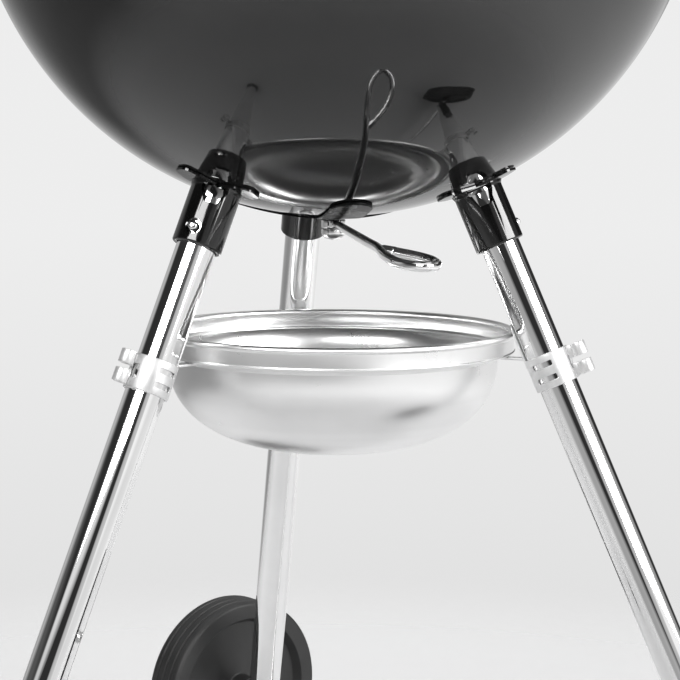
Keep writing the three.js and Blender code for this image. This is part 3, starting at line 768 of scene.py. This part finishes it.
def clip_tab(to_clip):
    """The level tab under the pan's rim, made in the upright plane of its leg."""
    top = PAN_TOP_Z - PAN_RIM - 0.4
    end = leg_radius(top) - (TUBE_R + 1.4) / cos(TILT)
    tab = rounded([(112.5, -4, 1.2), (end, -4), (end, 4), (112.5, 4, 1.2)], 4)
    return placed(softened(prism(tab, top - 1.5, top), 0.25, 2), to_clip)


def legs():
    socket = socket_mesh()
    button = button_mesh()
    clip = clip_parts()
    for name, turn in LEGS.items():
        place = leg_place(turn)
        wheel = name != "plain"
        end = along_to(WHEEL_R) + 13 if wheel else along_to(0) - 9.5
        rows = [-end + 30, -40, -36, -20, -16]
        section = [(TUBE_R - 1.5, -2.5, 0.3), (TUBE_R - 1.5, -end, 0.5), (TUBE_R, -end, 0.6)]
        section += [(TUBE_R, z) for z in rows] + [(TUBE_R, -2.5, 0.5)]
        tube = rounded_lathe(section, 3, 96)
        tools = [radial_hole(BUTTON_HOLE_R, 5, 20, BUTTON_TURN, BUTTON_DROP)]
        if wheel:
            hole = wire([(AXLE_X, -400, WHEEL_R), (AXLE_X, 400, WHEEL_R)], AXLE_BORE_R, 28)
            tools.append(placed(hole, place.inverted() @ ON_AXIS))
        tube = cut(tube, *tools)
        piece("fine_leg_" + name, tube, TUBE_METAL, "stand", ["leg_" + name], place)
        node = "leg_socket_" + name
        piece("fine_socket_" + name, socket.copy(), PAINT, "stand", [node], place)
        at = place @ moved(z=-BUTTON_DROP) @ spin(BUTTON_TURN)
        node = "spring_button_" + name
        piece("fine_button_" + name, button.copy(), CHROME, "button_" + name, [node], at)
        at = place @ moved(z=-along_to(CLIP_Z))
        tab = clip_tab(at.inverted() @ ON_AXIS @ spin(turn))
        node = "pan_clip_" + name
        piece("fine_clip_" + name, joined(clip + [tab]), CLIP_METAL, "stand", [node], at)
        if not wheel:
            foot(place)


def foot(place):
    ground = -along_to(0)
    bore = TUBE_R + 0.4
    section = [
        (0, ground - 12),
        (17.5, ground - 12),
        (17.5, ground + 8, 6),
        (16.3, ground + 22),
        (16.3, ground + 23.5, 0.4),
        (15.7, ground + 24.5, 0.4),
        (15.9, ground + 26, 0.4),
        (15.3, ground + 35, 1.2),
        (bore, ground + 35, 0.5),
        (bore, ground + 9),
        (0, ground + 9),
    ]
    body = rounded_lathe(section, 5, 96)
    box = prism([(-450, -450), (450, -450), (450, 450), (-450, 450)], -100, 0)
    body = cut(body, placed(box, place.inverted() @ ON_AXIS))
    body = placed(softened(body, 0.5, 3, 50), ON_AXIS.inverted() @ place)
    piece("fine_foot", body, RUBBER, "stand", ["foot_cap"])


# ---------- wheels ----------
def wheels():
    bore = AXLE_BORE_R
    half = WHEEL_HALF
    groove = []
    for z in (-8.5, 0, 8.5):
        groove += [(WHEEL_R, z - 1.6, 0.4), (WHEEL_R - 1.2, z - 1.1, 0.4)]
        groove += [(WHEEL_R - 1.2, z + 1.1, 0.4), (WHEEL_R, z + 1.6, 0.4)]
    section = [
        (bore, -half - 5, 0.4),
        (12, -half - 5, 1),
        (13, -half + 8, 1.5),
        (58, -half + 8, 2),
        (62, -half, 1),
        (WHEEL_R - 1, -half, 3),
        (WHEEL_R, -half + 4),
        *groove,
        (WHEEL_R, half - 4),
        (WHEEL_R - 1, half, 3),
        (64, half, 1),
        (60, half - 9, 2.5),
        (48, half - 9, 1),
        (46, half - 7.4, 1),
        (26, half - 7.4, 1),
        (20, half - 9, 1),
        (16, half, 1.5),
        (bore, half, 0.5),
    ]
    tread = rounded_lathe(section, 4, 128)
    rib = prism([(17, -1.4), (61, -1.4), (61, 1.4), (17, 1.4)], half - 9.5, half - 3.5)
    tread = united(tread, *copies(softened(rib, 0.5, 2), range(0, 360, 40)))
    middle = AXLE_LEG_Y + WHEEL_GAP + half
    outside = middle + half
    cap = [(0, 5.5), (5.05, 5.5), (5.05, 0), (11.5, 0, 0.4)]
    cap += [(11.5, 2, 0.8), (9, 5.2, 2), (5, 7, 3), (0, 7.6)]
    cap = rounded_lathe(cap, 6, 56)
    centre = ON_AXIS @ moved(AXLE_X, 0, WHEEL_R)
    for name, side in (("front", -1), ("back", 1)):
        spot = centre @ spin(-side * 90, "X")
        at = spot @ moved(z=middle)
        node = "wheel_" + name
        piece("fine_" + node, tread.copy(), WHEEL_PLASTIC, node, [node], at)
        at = spot @ moved(z=outside + 0.4)
        node = "hub_cap_" + name
        piece("fine_" + node, cap.copy(), CHROME, "stand", [node], at)
    end = outside + 5.4
    rod = rounded_lathe([(0, -end), (4.75, -end, 1), (4.75, end, 1), (0, end)], 5, 48)
    piece("fine_axle", rod, ZINC, "stand", ["axle"], centre @ spin(90, "X"))


# ---------- ash pan ----------
def pan_curve(r, depth, steps):
    """The dish under the rim, from its middle outwards, as a superellipse."""
    out = []
    for i in range(steps + 1):
        a = i / steps * pi / 2
        across = sin(a) ** (2 / 2.5)
        down = cos(a) ** (2 / 2.5)
        out.append((r * across if i else 0, -PAN_RIM - (depth - PAN_RIM) * down))
    return out


def ash_pan():
    outside = pan_curve(110.5, 82, 56)
    inside = pan_curve(109.2, 80.7, 56)[::-1]
    shelf = [(119.6, -5.5), (119.6, -13, 1.2), (112, -13, 1.0), (109.2, -15, 1.0)]
    shelf = rounded(shelf, 4, closed=False)
    section = (
        outside[:-1]
        + rounded(
            [
                (110.5, -PAN_RIM),
                (120.9, -PAN_RIM, 0.5),
                (121.5, -13.9, 0.3),
                (121.5, -13.3, 0.3),
                (121.0, -12.7, 0.3),
                (121.0, -4.2, 0.6),
                (121.4, -3.6, 0.3),
            ],
            4,
            closed=False,
        )[1:]
        + arc(119.6, -2.4, 2.4, -20, 200, 14)
        + [(118.9, -4.4)]
        + shelf[1:-1]
        + inside[3:]
    )
    at = ON_AXIS @ moved(z=PAN_TOP_Z)
    piece("fine_ash_pan", lathe(section, 192), PAN_METAL, "ash_pan", ["ash_pan"], at, 60)


# ---------- dampers and lever ----------
def lobes(outer, inner, hole, reach, half, bead=0):
    """Three blades that follow the bowl between two radii; bead is the radius of a rolled edge."""
    past = reach + 4
    section = arc(0, BOWL_Z, outer, sphere_angle(hole, outer), sphere_angle(past, outer), 40)
    section += arc(0, BOWL_Z, inner, sphere_angle(past, inner), sphere_angle(hole, inner), 40)
    shell = lathe(section, 180)
    blade = prism(stadium(0, reach - half, half, 18), POLE_Z - 20, POLE_Z + 60)
    hub = prism(arc(0, 0, half + 5, 0, 357, 119), POLE_Z - 20, POLE_Z + 60)
    shape = hub
    for turn in THIRDS:
        shape = united(shape, placed(blade, spin(LEVER_TURN + turn)))
    parts = [softened(common(shell, shape), 0.3, 2, 40)]
    middle = (outer + inner) / 2
    for turn in THIRDS if bead else ():
        edge = turned(arc(reach - half, 0, half - bead, -78, 78, 24), LEVER_TURN + turn)
        path = [(x, y, BOWL_Z - sqrt(middle**2 - x * x - y * y)) for x, y in edge]
        parts.append(wire(path, bead, 10))
    return joined(parts)


def lever():
    start = [(x, 0.2 + x * 0.012, (x - 6) * 0.05) for x in (7.4, 40, 75, 110, 140)]
    near = [(168, 0.3, 8.9), (192, 0.7, 10.6), (206, 3.4, 11.4), (215, 8, 11.8), (218, 13.5, 11.9)]
    far = [(214.5, 19, 11.9), (206, 22.6, 11.5), (194, 23.4, 10.8)]
    far += [(181, 21, 10), (168, 15.6, 9), (157, 9, 8)]
    path = [(x, y, LEVER_Z - drop) for x, y, drop in start + near + far]
    rod = wire(smooth_path(path, 9), 3, 20)
    weld = wire([(149, 3.6, LEVER_Z - 7.3), (157, 8.8, LEVER_Z - 7.9)], 3.1, 16)
    bore, low, high = SPINDLE_BORE_R, LEVER_Z - 2.8, LEVER_Z + 2.8
    eye = rounded_lathe([(bore, low, 0.4), (8, low, 0.8), (8, high, 0.8), (bore, high, 0.4)], 4, 56)
    whole = placed(joined([rod, weld, eye]), spin(LEVER_TURN))
    piece("fine_lever", whole, CHROME, "sweeper", ["damper_lever"])


def damper():
    bore = SPINDLE_BORE_R
    blades = lobes(BOWL_R + 1.8, BOWL_R + 0.8, bore, 78, 13.5, bead=0.9)
    piece("fine_blades", blades, SATIN_BLACK, "sweeper", ["damper_blades"])
    inner = BOWL_R - WALL
    vanes = lobes(inner - 1.3, inner - 2.9, bore, 96, 15)
    piece("fine_sweeper", vanes, ZINC, "sweeper", ["ash_sweeper"])
    lever()
    low, high = POLE_Z - 13, POLE_Z + 15
    spindle = [(0, low), (SPINDLE_R, low, 0.5), (SPINDLE_R, high, 0.9), (0, high)]
    spindle = rounded_lathe(spindle, 4, 40)
    piece("fine_spindle", spindle, ZINC, "sweeper", ["spindle"])
    low, high = POLE_Z - 0.2, POLE_Z + 2.7
    bush = rounded_lathe([(bore, low, 0.2), (8.6, low, 0.3), (8.6, high, 0.5), (bore, high, 0.3)], 3, 48)
    piece("fine_bush", bush, ZINC, "stand", ["spindle_bush"])
    nut = prism(arc(0, 0, 7.5, 0, 300, 5), POLE_Z + 5.5, POLE_Z + 11.3)
    nut = cut(nut, cylinder(bore, POLE_Z, POLE_Z + 20, 40))
    piece("fine_nut", softened(nut, 0.5, 3), ZINC, "sweeper", ["sweeper_nut"])
    top = LEVER_Z - 3.4
    dome = [(8 * cos(radians(a)), top - 2.5 - 5 * sin(radians(a))) for a in range(84, 0, -6)]
    end = POLE_Z - 13.4
    skirt = [(8, top - 2.5), (8, top, 0.6), (4.35, top, 0.3), (4.35, end), (0, end)]
    cap = lathe([(0, top - 7.5)] + dome + rounded(skirt, 4, closed=False), 72)
    piece("fine_cap_nut", cap, NUT_METAL, "sweeper", ["cap_nut"])


# ---------- grates ----------
def grate(nodes, z, ring_r, bar_r, pitch, cross_y, grips=()):
    """A ring with bars on top and two cross bars below; the first node names it and its body."""
    count = int((ring_r - 8) // pitch)
    parts = [wire(circle_path(ring_r, 0), GRATE_RING_R, 14, closed=True)]
    height = bar_r + 0.2
    for i in range(-count, count + 1):
        x = i * pitch
        end = sqrt(ring_r**2 - x * x) - 1
        parts.append(wire([(x, -end, height), (x, 0, height), (x, end, height)], bar_r, 12))
    for y in (-cross_y, cross_y):
        end = sqrt(ring_r**2 - y * y) - 2
        parts.append(wire([(-end, y, -height), (0, y, -height), (end, y, -height)], bar_r, 12))
    node = nodes[0]
    at = ON_AXIS @ moved(z=z)
    piece("fine_" + node, joined([*parts, *grips]), GRATE_METAL, node, nodes, at)


def grates():
    grips = []
    x = sqrt(COOKING_GRATE_R**2 - 34**2)
    rise = [(x, -34, 0), (x - 1, -34, 13), (x - 2, -32.5, 23), (x - 2, -28, 26)]
    across = rise + [(x - 2, 0, 26)] + [(a, -b, c) for a, b, c in rise[::-1]]
    for side in (-1, 1):
        path = [(side * a, b, c) for a, b, c in across]
        grips.append(wire(smooth_path(path, 6), 2.2, 12))
    nodes = ["cooking_grate", "grate_grip_right", "grate_grip_left"]
    grate(nodes, COOKING_GRATE_Z, COOKING_GRATE_R, 2.2, 20, 90, grips)
    grate(["charcoal_grate"], CHARCOAL_GRATE_Z, CHARCOAL_GRATE_R, 2.6, 28, 75)
    shelf = COOKING_GRATE_Z - GRATE_RING_R - 0.4
    inner = BOWL_R - WALL
    low, high = [sqrt(inner**2 - (BOWL_Z - z) ** 2) - 0.7 for z in (shelf - 2, shelf + 14)]
    section = [(200, shelf - 2, 0.6), (low, shelf - 2, 0.6), (high, shelf + 14, 0.5)]
    section += [(high - 2, shelf + 14, 0.5), (low - 1.6, shelf, 1.2), (200, shelf, 0.6)]
    section = rounded(section, 4)
    for i, turn in enumerate((30, 150, 270)):
        tab = placed(softened(side_prism(section, 15.6), 0.4, 2), spin(turn))
        node = f"grate_tab_{i + 1}"
        piece("fine_" + node, tab, ENAMEL, "stand", [node])


# ---------- handles ----------
def ball(r, z):
    bm = bmesh.new()
    bmesh.ops.create_uvsphere(bm, u_segments=192, v_segments=96, radius=r * MM)
    bmesh.ops.translate(bm, verts=bm.verts, vec=(0, 0, z * MM))
    data = bpy.data.meshes.new("ball")
    bm.to_mesh(data)
    bm.free()
    return data


def screw(points, r, slot_at):
    """A pan-head screw, head down, with a cross recess in its head."""
    body = rounded_lathe(points, 4, 40)
    low, high = slot_at - 2, slot_at + 1.3
    arms = [prism([(-r, -0.55), (r, -0.55), (r, 0.55), (-r, 0.55)], low, high)]
    arms.append(placed(arms[0], spin(90)))
    return softened(cut(body, united(*arms)), 0.12, 2, 50)


def side_handles():
    half, reach, z = 63, 279, HANDLE_Z
    outer = rounded([(205, -half), (reach, -half, 19), (reach, half, 19), (205, half)], 10)
    side, end = half - 26, reach - 21
    gap = rounded([(190, -side), (end, -side, 10), (end, side, 10), (190, side)], 8)
    block = cut(prism(outer, z - 11, z + 11), prism(gap, z - 30, z + 30))
    block = softened(block, 4.2, 5, 50)
    hole = placed(cylinder(3.1, 200, 252, 24), spin(90, "Y"))
    holes = [shifted(hole, 0, y, z) for y in HANDLE_SCREWS_Y]
    block = cut(block, ball(BOWL_R + 0.6, BOWL_Z), *holes)
    head = [(0, 206), (3, 206.6), (5.2, 208.6, 1), (6, 212, 0.6), (6, 212.9, 0.3)]
    shank = [(2.7, 212.9), (2.7, 250, 0.6), (0, 250)]
    bolt = placed(screw(head + shank, 3.1, 206), spin(90, "Y"))
    for name, turn in (("right", 0), ("left", 180)):
        at = ON_AXIS @ spin(turn)
        node = "bowl_handle_" + name
        piece("fine_" + node, block.copy(), NYLON, "stand", [node], at)
        for i, y in enumerate(HANDLE_SCREWS_Y):
            node = f"handle_screw_{name}_{i + 1}"
            spot = at @ moved(0, y, z)
            piece("fine_" + node, bolt.copy(), ZINC, "stand", [node], spot)


# ---------- lid ----------
def lid():
    inner = LID_R - WALL
    seat = LID_SEAT
    inner_low = degrees(asin((seat + 2.5 - LID_Z) / inner))
    outer_low = degrees(asin((seat + 4.5 - LID_Z) / LID_R))
    skirt = rounded(
        [
            (inner * cos(radians(inner_low)), seat + 2.5),
            (227.6, seat, 0.8),
            (236.5, seat, 0.5),
            (236.5, seat - 5, 0.4),
            (238.5, seat - 5, 0.8),
            (238.5, seat + 2.6, 1.8),
            (LID_R * cos(radians(outer_low)), seat + 4.5),
        ],
        5,
        closed=False,
    )
    section = (
        [(0, LID_Z + inner)]
        + arc(0, LID_Z, inner, 90, inner_low, 64)[1:-1]
        + skirt[:-1]
        + arc(0, LID_Z, LID_R, outer_low, 90, 64)[:-1]
        + [(0, LID_Z + LID_R)]
    )
    dome = lathe(section, 192)
    hole = cylinder(3, LID_Z + 200, LID_Z + 270, 24)
    tools = [shifted(hole, x=x) for x in LID_SCREWS_X]
    rivet_hole = cylinder(3.3, LID_R - 30, LID_R + 30, 24)
    tools += [placed(tool, VENT) for tool in vent_holes(8, 24) + [rivet_hole]]
    shell = cut(dome, *tools)
    obj = piece("fine_lid", shell, ENAMEL, "lid", ["lid"])
    radial_normals(obj, LID_Z, LID_R, inner)


VENT = moved(z=LID_Z) @ Matrix.Rotation(-VENT_TILT, 4, "X")


def vent_holes(r, sides):
    """Four cutters for air holes, in the vent's own frame."""
    one = cylinder(r, LID_R - 30, LID_R + 30, sides)
    spots = [radians(45 + 90 * i) for i in range(4)]
    return [shifted(one, 21 * cos(a), 21 * sin(a)) for a in spots]


def lid_vent():
    under = LID_R + 0.7
    over = under + 1.2
    section = arc(0, 0, under, -sphere_angle(3.6, under), -sphere_angle(36, under), 16)
    section += arc(0, 0, over, -sphere_angle(36, over), -sphere_angle(3.6, over), 16)
    disc = cut(lathe(section, 128), *vent_holes(8.5, 40))
    tab = rounded([(-8, 0), (8, 0), (8, 12, 5), (-8, 12, 5)], 8)
    tab = shifted(placed(side_prism(tab, 2), spin(90)), x=31, z=over - 3)
    whole = joined([softened(disc, 0.3, 2, 40), softened(tab, 0.4, 3, 50)])
    at = ON_AXIS @ VENT
    piece("fine_lid_damper", whole, VENT_METAL, "lid_vent", ["lid_damper"], at)
    inner = LID_R - WALL
    tail = [(0, inner - 4.2), (5, inner - 3.2, 0.6), (5, inner - 1.3, 0.3), (3, inner - 1.3)]
    head = [(3, over + 0.4), (6.4, over + 0.4, 0.3), (6.1, over + 2.0, 1.2)]
    head += [(3.6, over + 3.3, 2), (0, over + 3.6)]
    rivet = rounded_lathe(tail + head, 5, 48)
    piece("fine_rivet", rivet, CHROME, "lid", ["damper_rivet"], at)


def lid_handle():
    top = LID_Z + LID_R
    right = [(56, top - 12), (59, top + 22, 30), (62, top + 50, 20)]
    outer = rounded(right + [(-x, *rest) for x, *rest in right[::-1]], 10)
    gap = [(30, top - 40), (34, top + 18, 8), (34, top + 32, 10)]
    gap = rounded(gap + [(-x, *rest) for x, *rest in gap[::-1]], 8)
    block = cut(side_prism(outer, 24), side_prism(gap, 80))
    block = softened(block, 4.5, 5, 50)
    hole = cylinder(2.9, top - 30, top + 14, 24)
    holes = [shifted(hole, x=x) for x in LID_SCREWS_X]
    block = cut(block, ball(LID_R + 0.6, LID_Z), *holes)
    piece("fine_lid_handle", block, NYLON, "lid", ["lid_handle"])
    head = [(0, top - 13), (4.6, top - 12, 1), (5.5, top - 9.4, 0.6), (5.5, top - 8.2, 0.3)]
    shank = [(2.5, top - 8.2), (2.5, top + 12, 0.6), (0, top + 12)]
    bolt = screw(head + shank, 2.8, top - 13)
    for i, x in enumerate(LID_SCREWS_X):
        node = f"lid_screw_{i + 1}"
        at = ON_AXIS @ moved(x)
        piece("fine_" + node, bolt.copy(), ZINC, "lid", [node], at)


def under_lid(x, drop):
    """The point this far out and this far below the lid's inner skin."""
    return (x, LID_Z + sqrt((LID_R - WALL) ** 2 - x * x) - drop)


def lid_hook():
    reach = 148
    top = under_lid(reach, 0)[1]
    upper = [under_lid(x, 0.6) for x in (117, 124, 131, 138, 144)]
    lower = [under_lid(x, 2.6) for x in (142, 138, 131, 124, 117)]
    curl = top - 36
    section = (
        lower[::-1][:-1]
        + [(reach - 2, top - 6.5), (reach - 2, curl)]
        + arc(reach + 6, curl, 8, 180, 360, 20)
        + [(reach + 14, curl + 12), (reach + 12, curl + 12)]
        + arc(reach + 6, curl, 6, 360, 180, 20)
        + [(reach, top - 4.5)]
        + upper[::-1]
    )
    strip = softened(side_prism(section, 15.6), 0.4, 2, 50)
    strip = placed(strip, spin(LEVER_TURN - 15))
    piece("fine_lid_hook", strip, ZINC, "lid", ["lid_hook"])


bowl()
legs()
wheels()
ash_pan()
damper()
grates()
side_handles()
lid()
lid_vent()
lid_handle()
lid_hook()


# ---------- floor ----------
FLOOR_R = 1.1  # metres
FLOOR_SOLID_R = 0.35  # metres: the floor fades into the backdrop outside this


def floor():
    n = Nodes("pale_floor")
    distance = n.new("VectorMath", {0: n.coords}, operation="LENGTH").outputs["Value"]
    span = {"From Min": FLOOR_SOLID_R, "From Max": FLOOR_R, "To Min": 1.0, "To Max": 0.0}
    fade = n.new("MapRange", {"Value": distance, **span}, interpolation_type="SMOOTHSTEP")
    n.link(Alpha=fade.outputs["Result"])
    n.set(Base_Color=(0.8, 0.8, 0.803, 1), Roughness=0.75)
    sheet = cylinder(FLOOR_R / MM, -4, 0, 96)
    sheet.materials.append(n.material)
    obj = bpy.data.objects.new("floor", sheet)
    bpy.context.scene.collection.objects.link(obj)


# ---------- surroundings and lights ----------
DARK = 0.03  # the level of the dark gaps between the panels
LIGHT_DISTANCE = 2.0  # metres
LIGHT_AIM_Z = 0.45  # metres


def world():
    """A studio: a pale backdrop for the camera; panels and dark gaps round it for the reflections."""
    scene_world = bpy.data.worlds.new("studio")
    bpy.context.scene.world = scene_world
    scene_world.use_nodes = True
    tree = scene_world.node_tree
    tree.nodes.clear()

    def node(kind, inputs=(), **settings):
        return add_node(tree, kind, inputs, **settings)

    direction = node("TexCoord").outputs["Generated"]
    turned_to = node("VectorRotate", {"Vector": direction, "Angle": VIEW_TURN}, rotation_type="Z_AXIS")
    split = node("SeparateXYZ", {"Vector": turned_to.outputs[0]})
    x, y, z = (split.outputs[key] for key in "XYZ")
    # from 0 to 1: straight ahead, left, behind the camera (0.5), right and straight ahead again
    back = node("Math", {0: y, 1: -1.0}, operation="MULTIPLY").outputs[0]
    turn = node("Math", {0: x, 1: back}, operation="ARCTAN2").outputs[0]
    around = node("Math", {0: turn, 1: 1 / (2 * pi), 2: 0.5}, operation="MULTIPLY_ADD").outputs[0]

    def ramp(stops):
        """Levels round the grill; each stop's angle is from behind the camera, left negative."""
        made = node("ValToRGB", {"Fac": around})
        elements = made.color_ramp.elements
        while len(elements) < len(stops):
            elements.new(0.5)
        for element, (angle, level) in zip(elements, stops):
            element.position = 0.5 + angle / 360
            element.color = (level, level, level, 1)
        return made.outputs["Color"]

    # four bands by height, each a list of (angle, level)
    upper = [
        (-180, 0.3), (-136, 0.1), (-130, DARK), (-127, 0.8), (-120, 0.8), (-117, DARK),
        (-56, DARK), (-47, 0.8), (-7, 0.8), (0, 0.12), (30, 0.12), (36, 1.0),
        (82, 1.0), (88, 0.14), (124, 0.18), (130, 0.7), (150, 0.7), (180, 0.3),
    ]
    middle = [
        (-180, 0.4), (-125, 0.5), (-100, 0.1), (-60, 0.1), (-50, 0.4), (-34, 0.4),
        (-29, DARK), (15, DARK), (20, 0.5), (34, 0.6), (38, 1.0), (84, 1.0),
        (92, 0.4), (108, 0.3), (115, DARK), (165, DARK), (172, 0.4), (180, 0.4),
    ]
    lower = [
        (-180, 0.85), (-140, 0.35), (-108, 0.27), (-87, 0.32), (-52, 0.44), (-22, 0.38),
        (-7, 0.4), (7, 0.5), (36, 0.75), (87, 0.85), (140, 0.85), (180, 0.85),
    ]
    bottom = [
        (-180, 0.7), (-150, 0.2), (-90, 0.3), (-45, 1.1), (0, 1.2), (90, 1.2), (180, 0.8),
    ]

    def between(low_z, high_z, below, above):
        rise = node("MapRange", {"Value": z, "From Min": low_z, "From Max": high_z}).outputs["Result"]
        made = node("Mix", {"Factor": rise}, data_type="RGBA")
        for socket, level in ((made.inputs[6], below), (made.inputs[7], above)):
            if isinstance(level, float):
                socket.default_value = (level, level, level, 1)
            else:
                tree.links.new(level, socket)
        return made.outputs[2]

    with_lower = between(-0.4, -0.2, ramp(bottom), ramp(lower))
    with_middle = between(-0.04, 0.06, with_lower, ramp(middle))
    with_upper = between(0.32, 0.4, with_middle, ramp(upper))
    with_top = between(0.66, 0.82, with_upper, 0.95)
    backdrop = {"Value": z, "From Min": -0.3, "From Max": -0.06, "To Min": 0.73, "To Max": 0.85}
    seen = node("Background", {"Color": node("MapRange", backdrop).outputs["Result"], "Strength": 1.0})
    studio = node("Background", {"Color": with_top, "Strength": 1.0})
    camera = node("LightPath").outputs["Is Camera Ray"]
    mixed = node("MixShader", {0: camera, 1: studio.outputs[0], 2: seen.outputs[0]})
    out = node("OutputWorld")
    tree.links.new(mixed.outputs[0], out.inputs["Surface"])


def softbox(name, turn, rise, wide, tall, radiance, diffuse=True, glossy=True):
    """A panel light, placed by the angles that it covers from the grill.

    turn is degrees from behind the camera, to its right when positive; rise is degrees up.
    """
    data = bpy.data.lights.new(name, "AREA")
    data.shape = "RECTANGLE"
    data.size = 2 * LIGHT_DISTANCE * tan(radians(wide / 2))
    data.size_y = 2 * LIGHT_DISTANCE * tan(radians(tall / 2))
    data.energy = radiance * pi * data.size * data.size_y
    light = bpy.data.objects.new(name, data)
    bpy.context.scene.collection.objects.link(light)
    a, e = radians(turn), radians(rise)
    toward = Vector((sin(a) * cos(e), -cos(a) * cos(e), sin(e)))
    target = Vector((AXIS_X, 0, LIGHT_AIM_Z))
    light.location = target + Matrix.Rotation(-VIEW_TURN, 3, "Z") @ toward * LIGHT_DISTANCE
    light.rotation_euler = (target - light.location).to_track_quat("-Z", "Y").to_euler()
    light.visible_camera = False
    light.visible_diffuse = diffuse
    light.visible_glossy = glossy


def lights():
    softbox("panel_left", -26, 30, 38, 20, 14, diffuse=False)
    softbox("panel_right", 59, 19, 40, 24, 15, diffuse=False)
    softbox("overhead", 170, 62, 60, 50, 2.6, glossy=False)


floor()
world()
lights()
bpy.context.scene.view_settings.view_transform = "Standard"
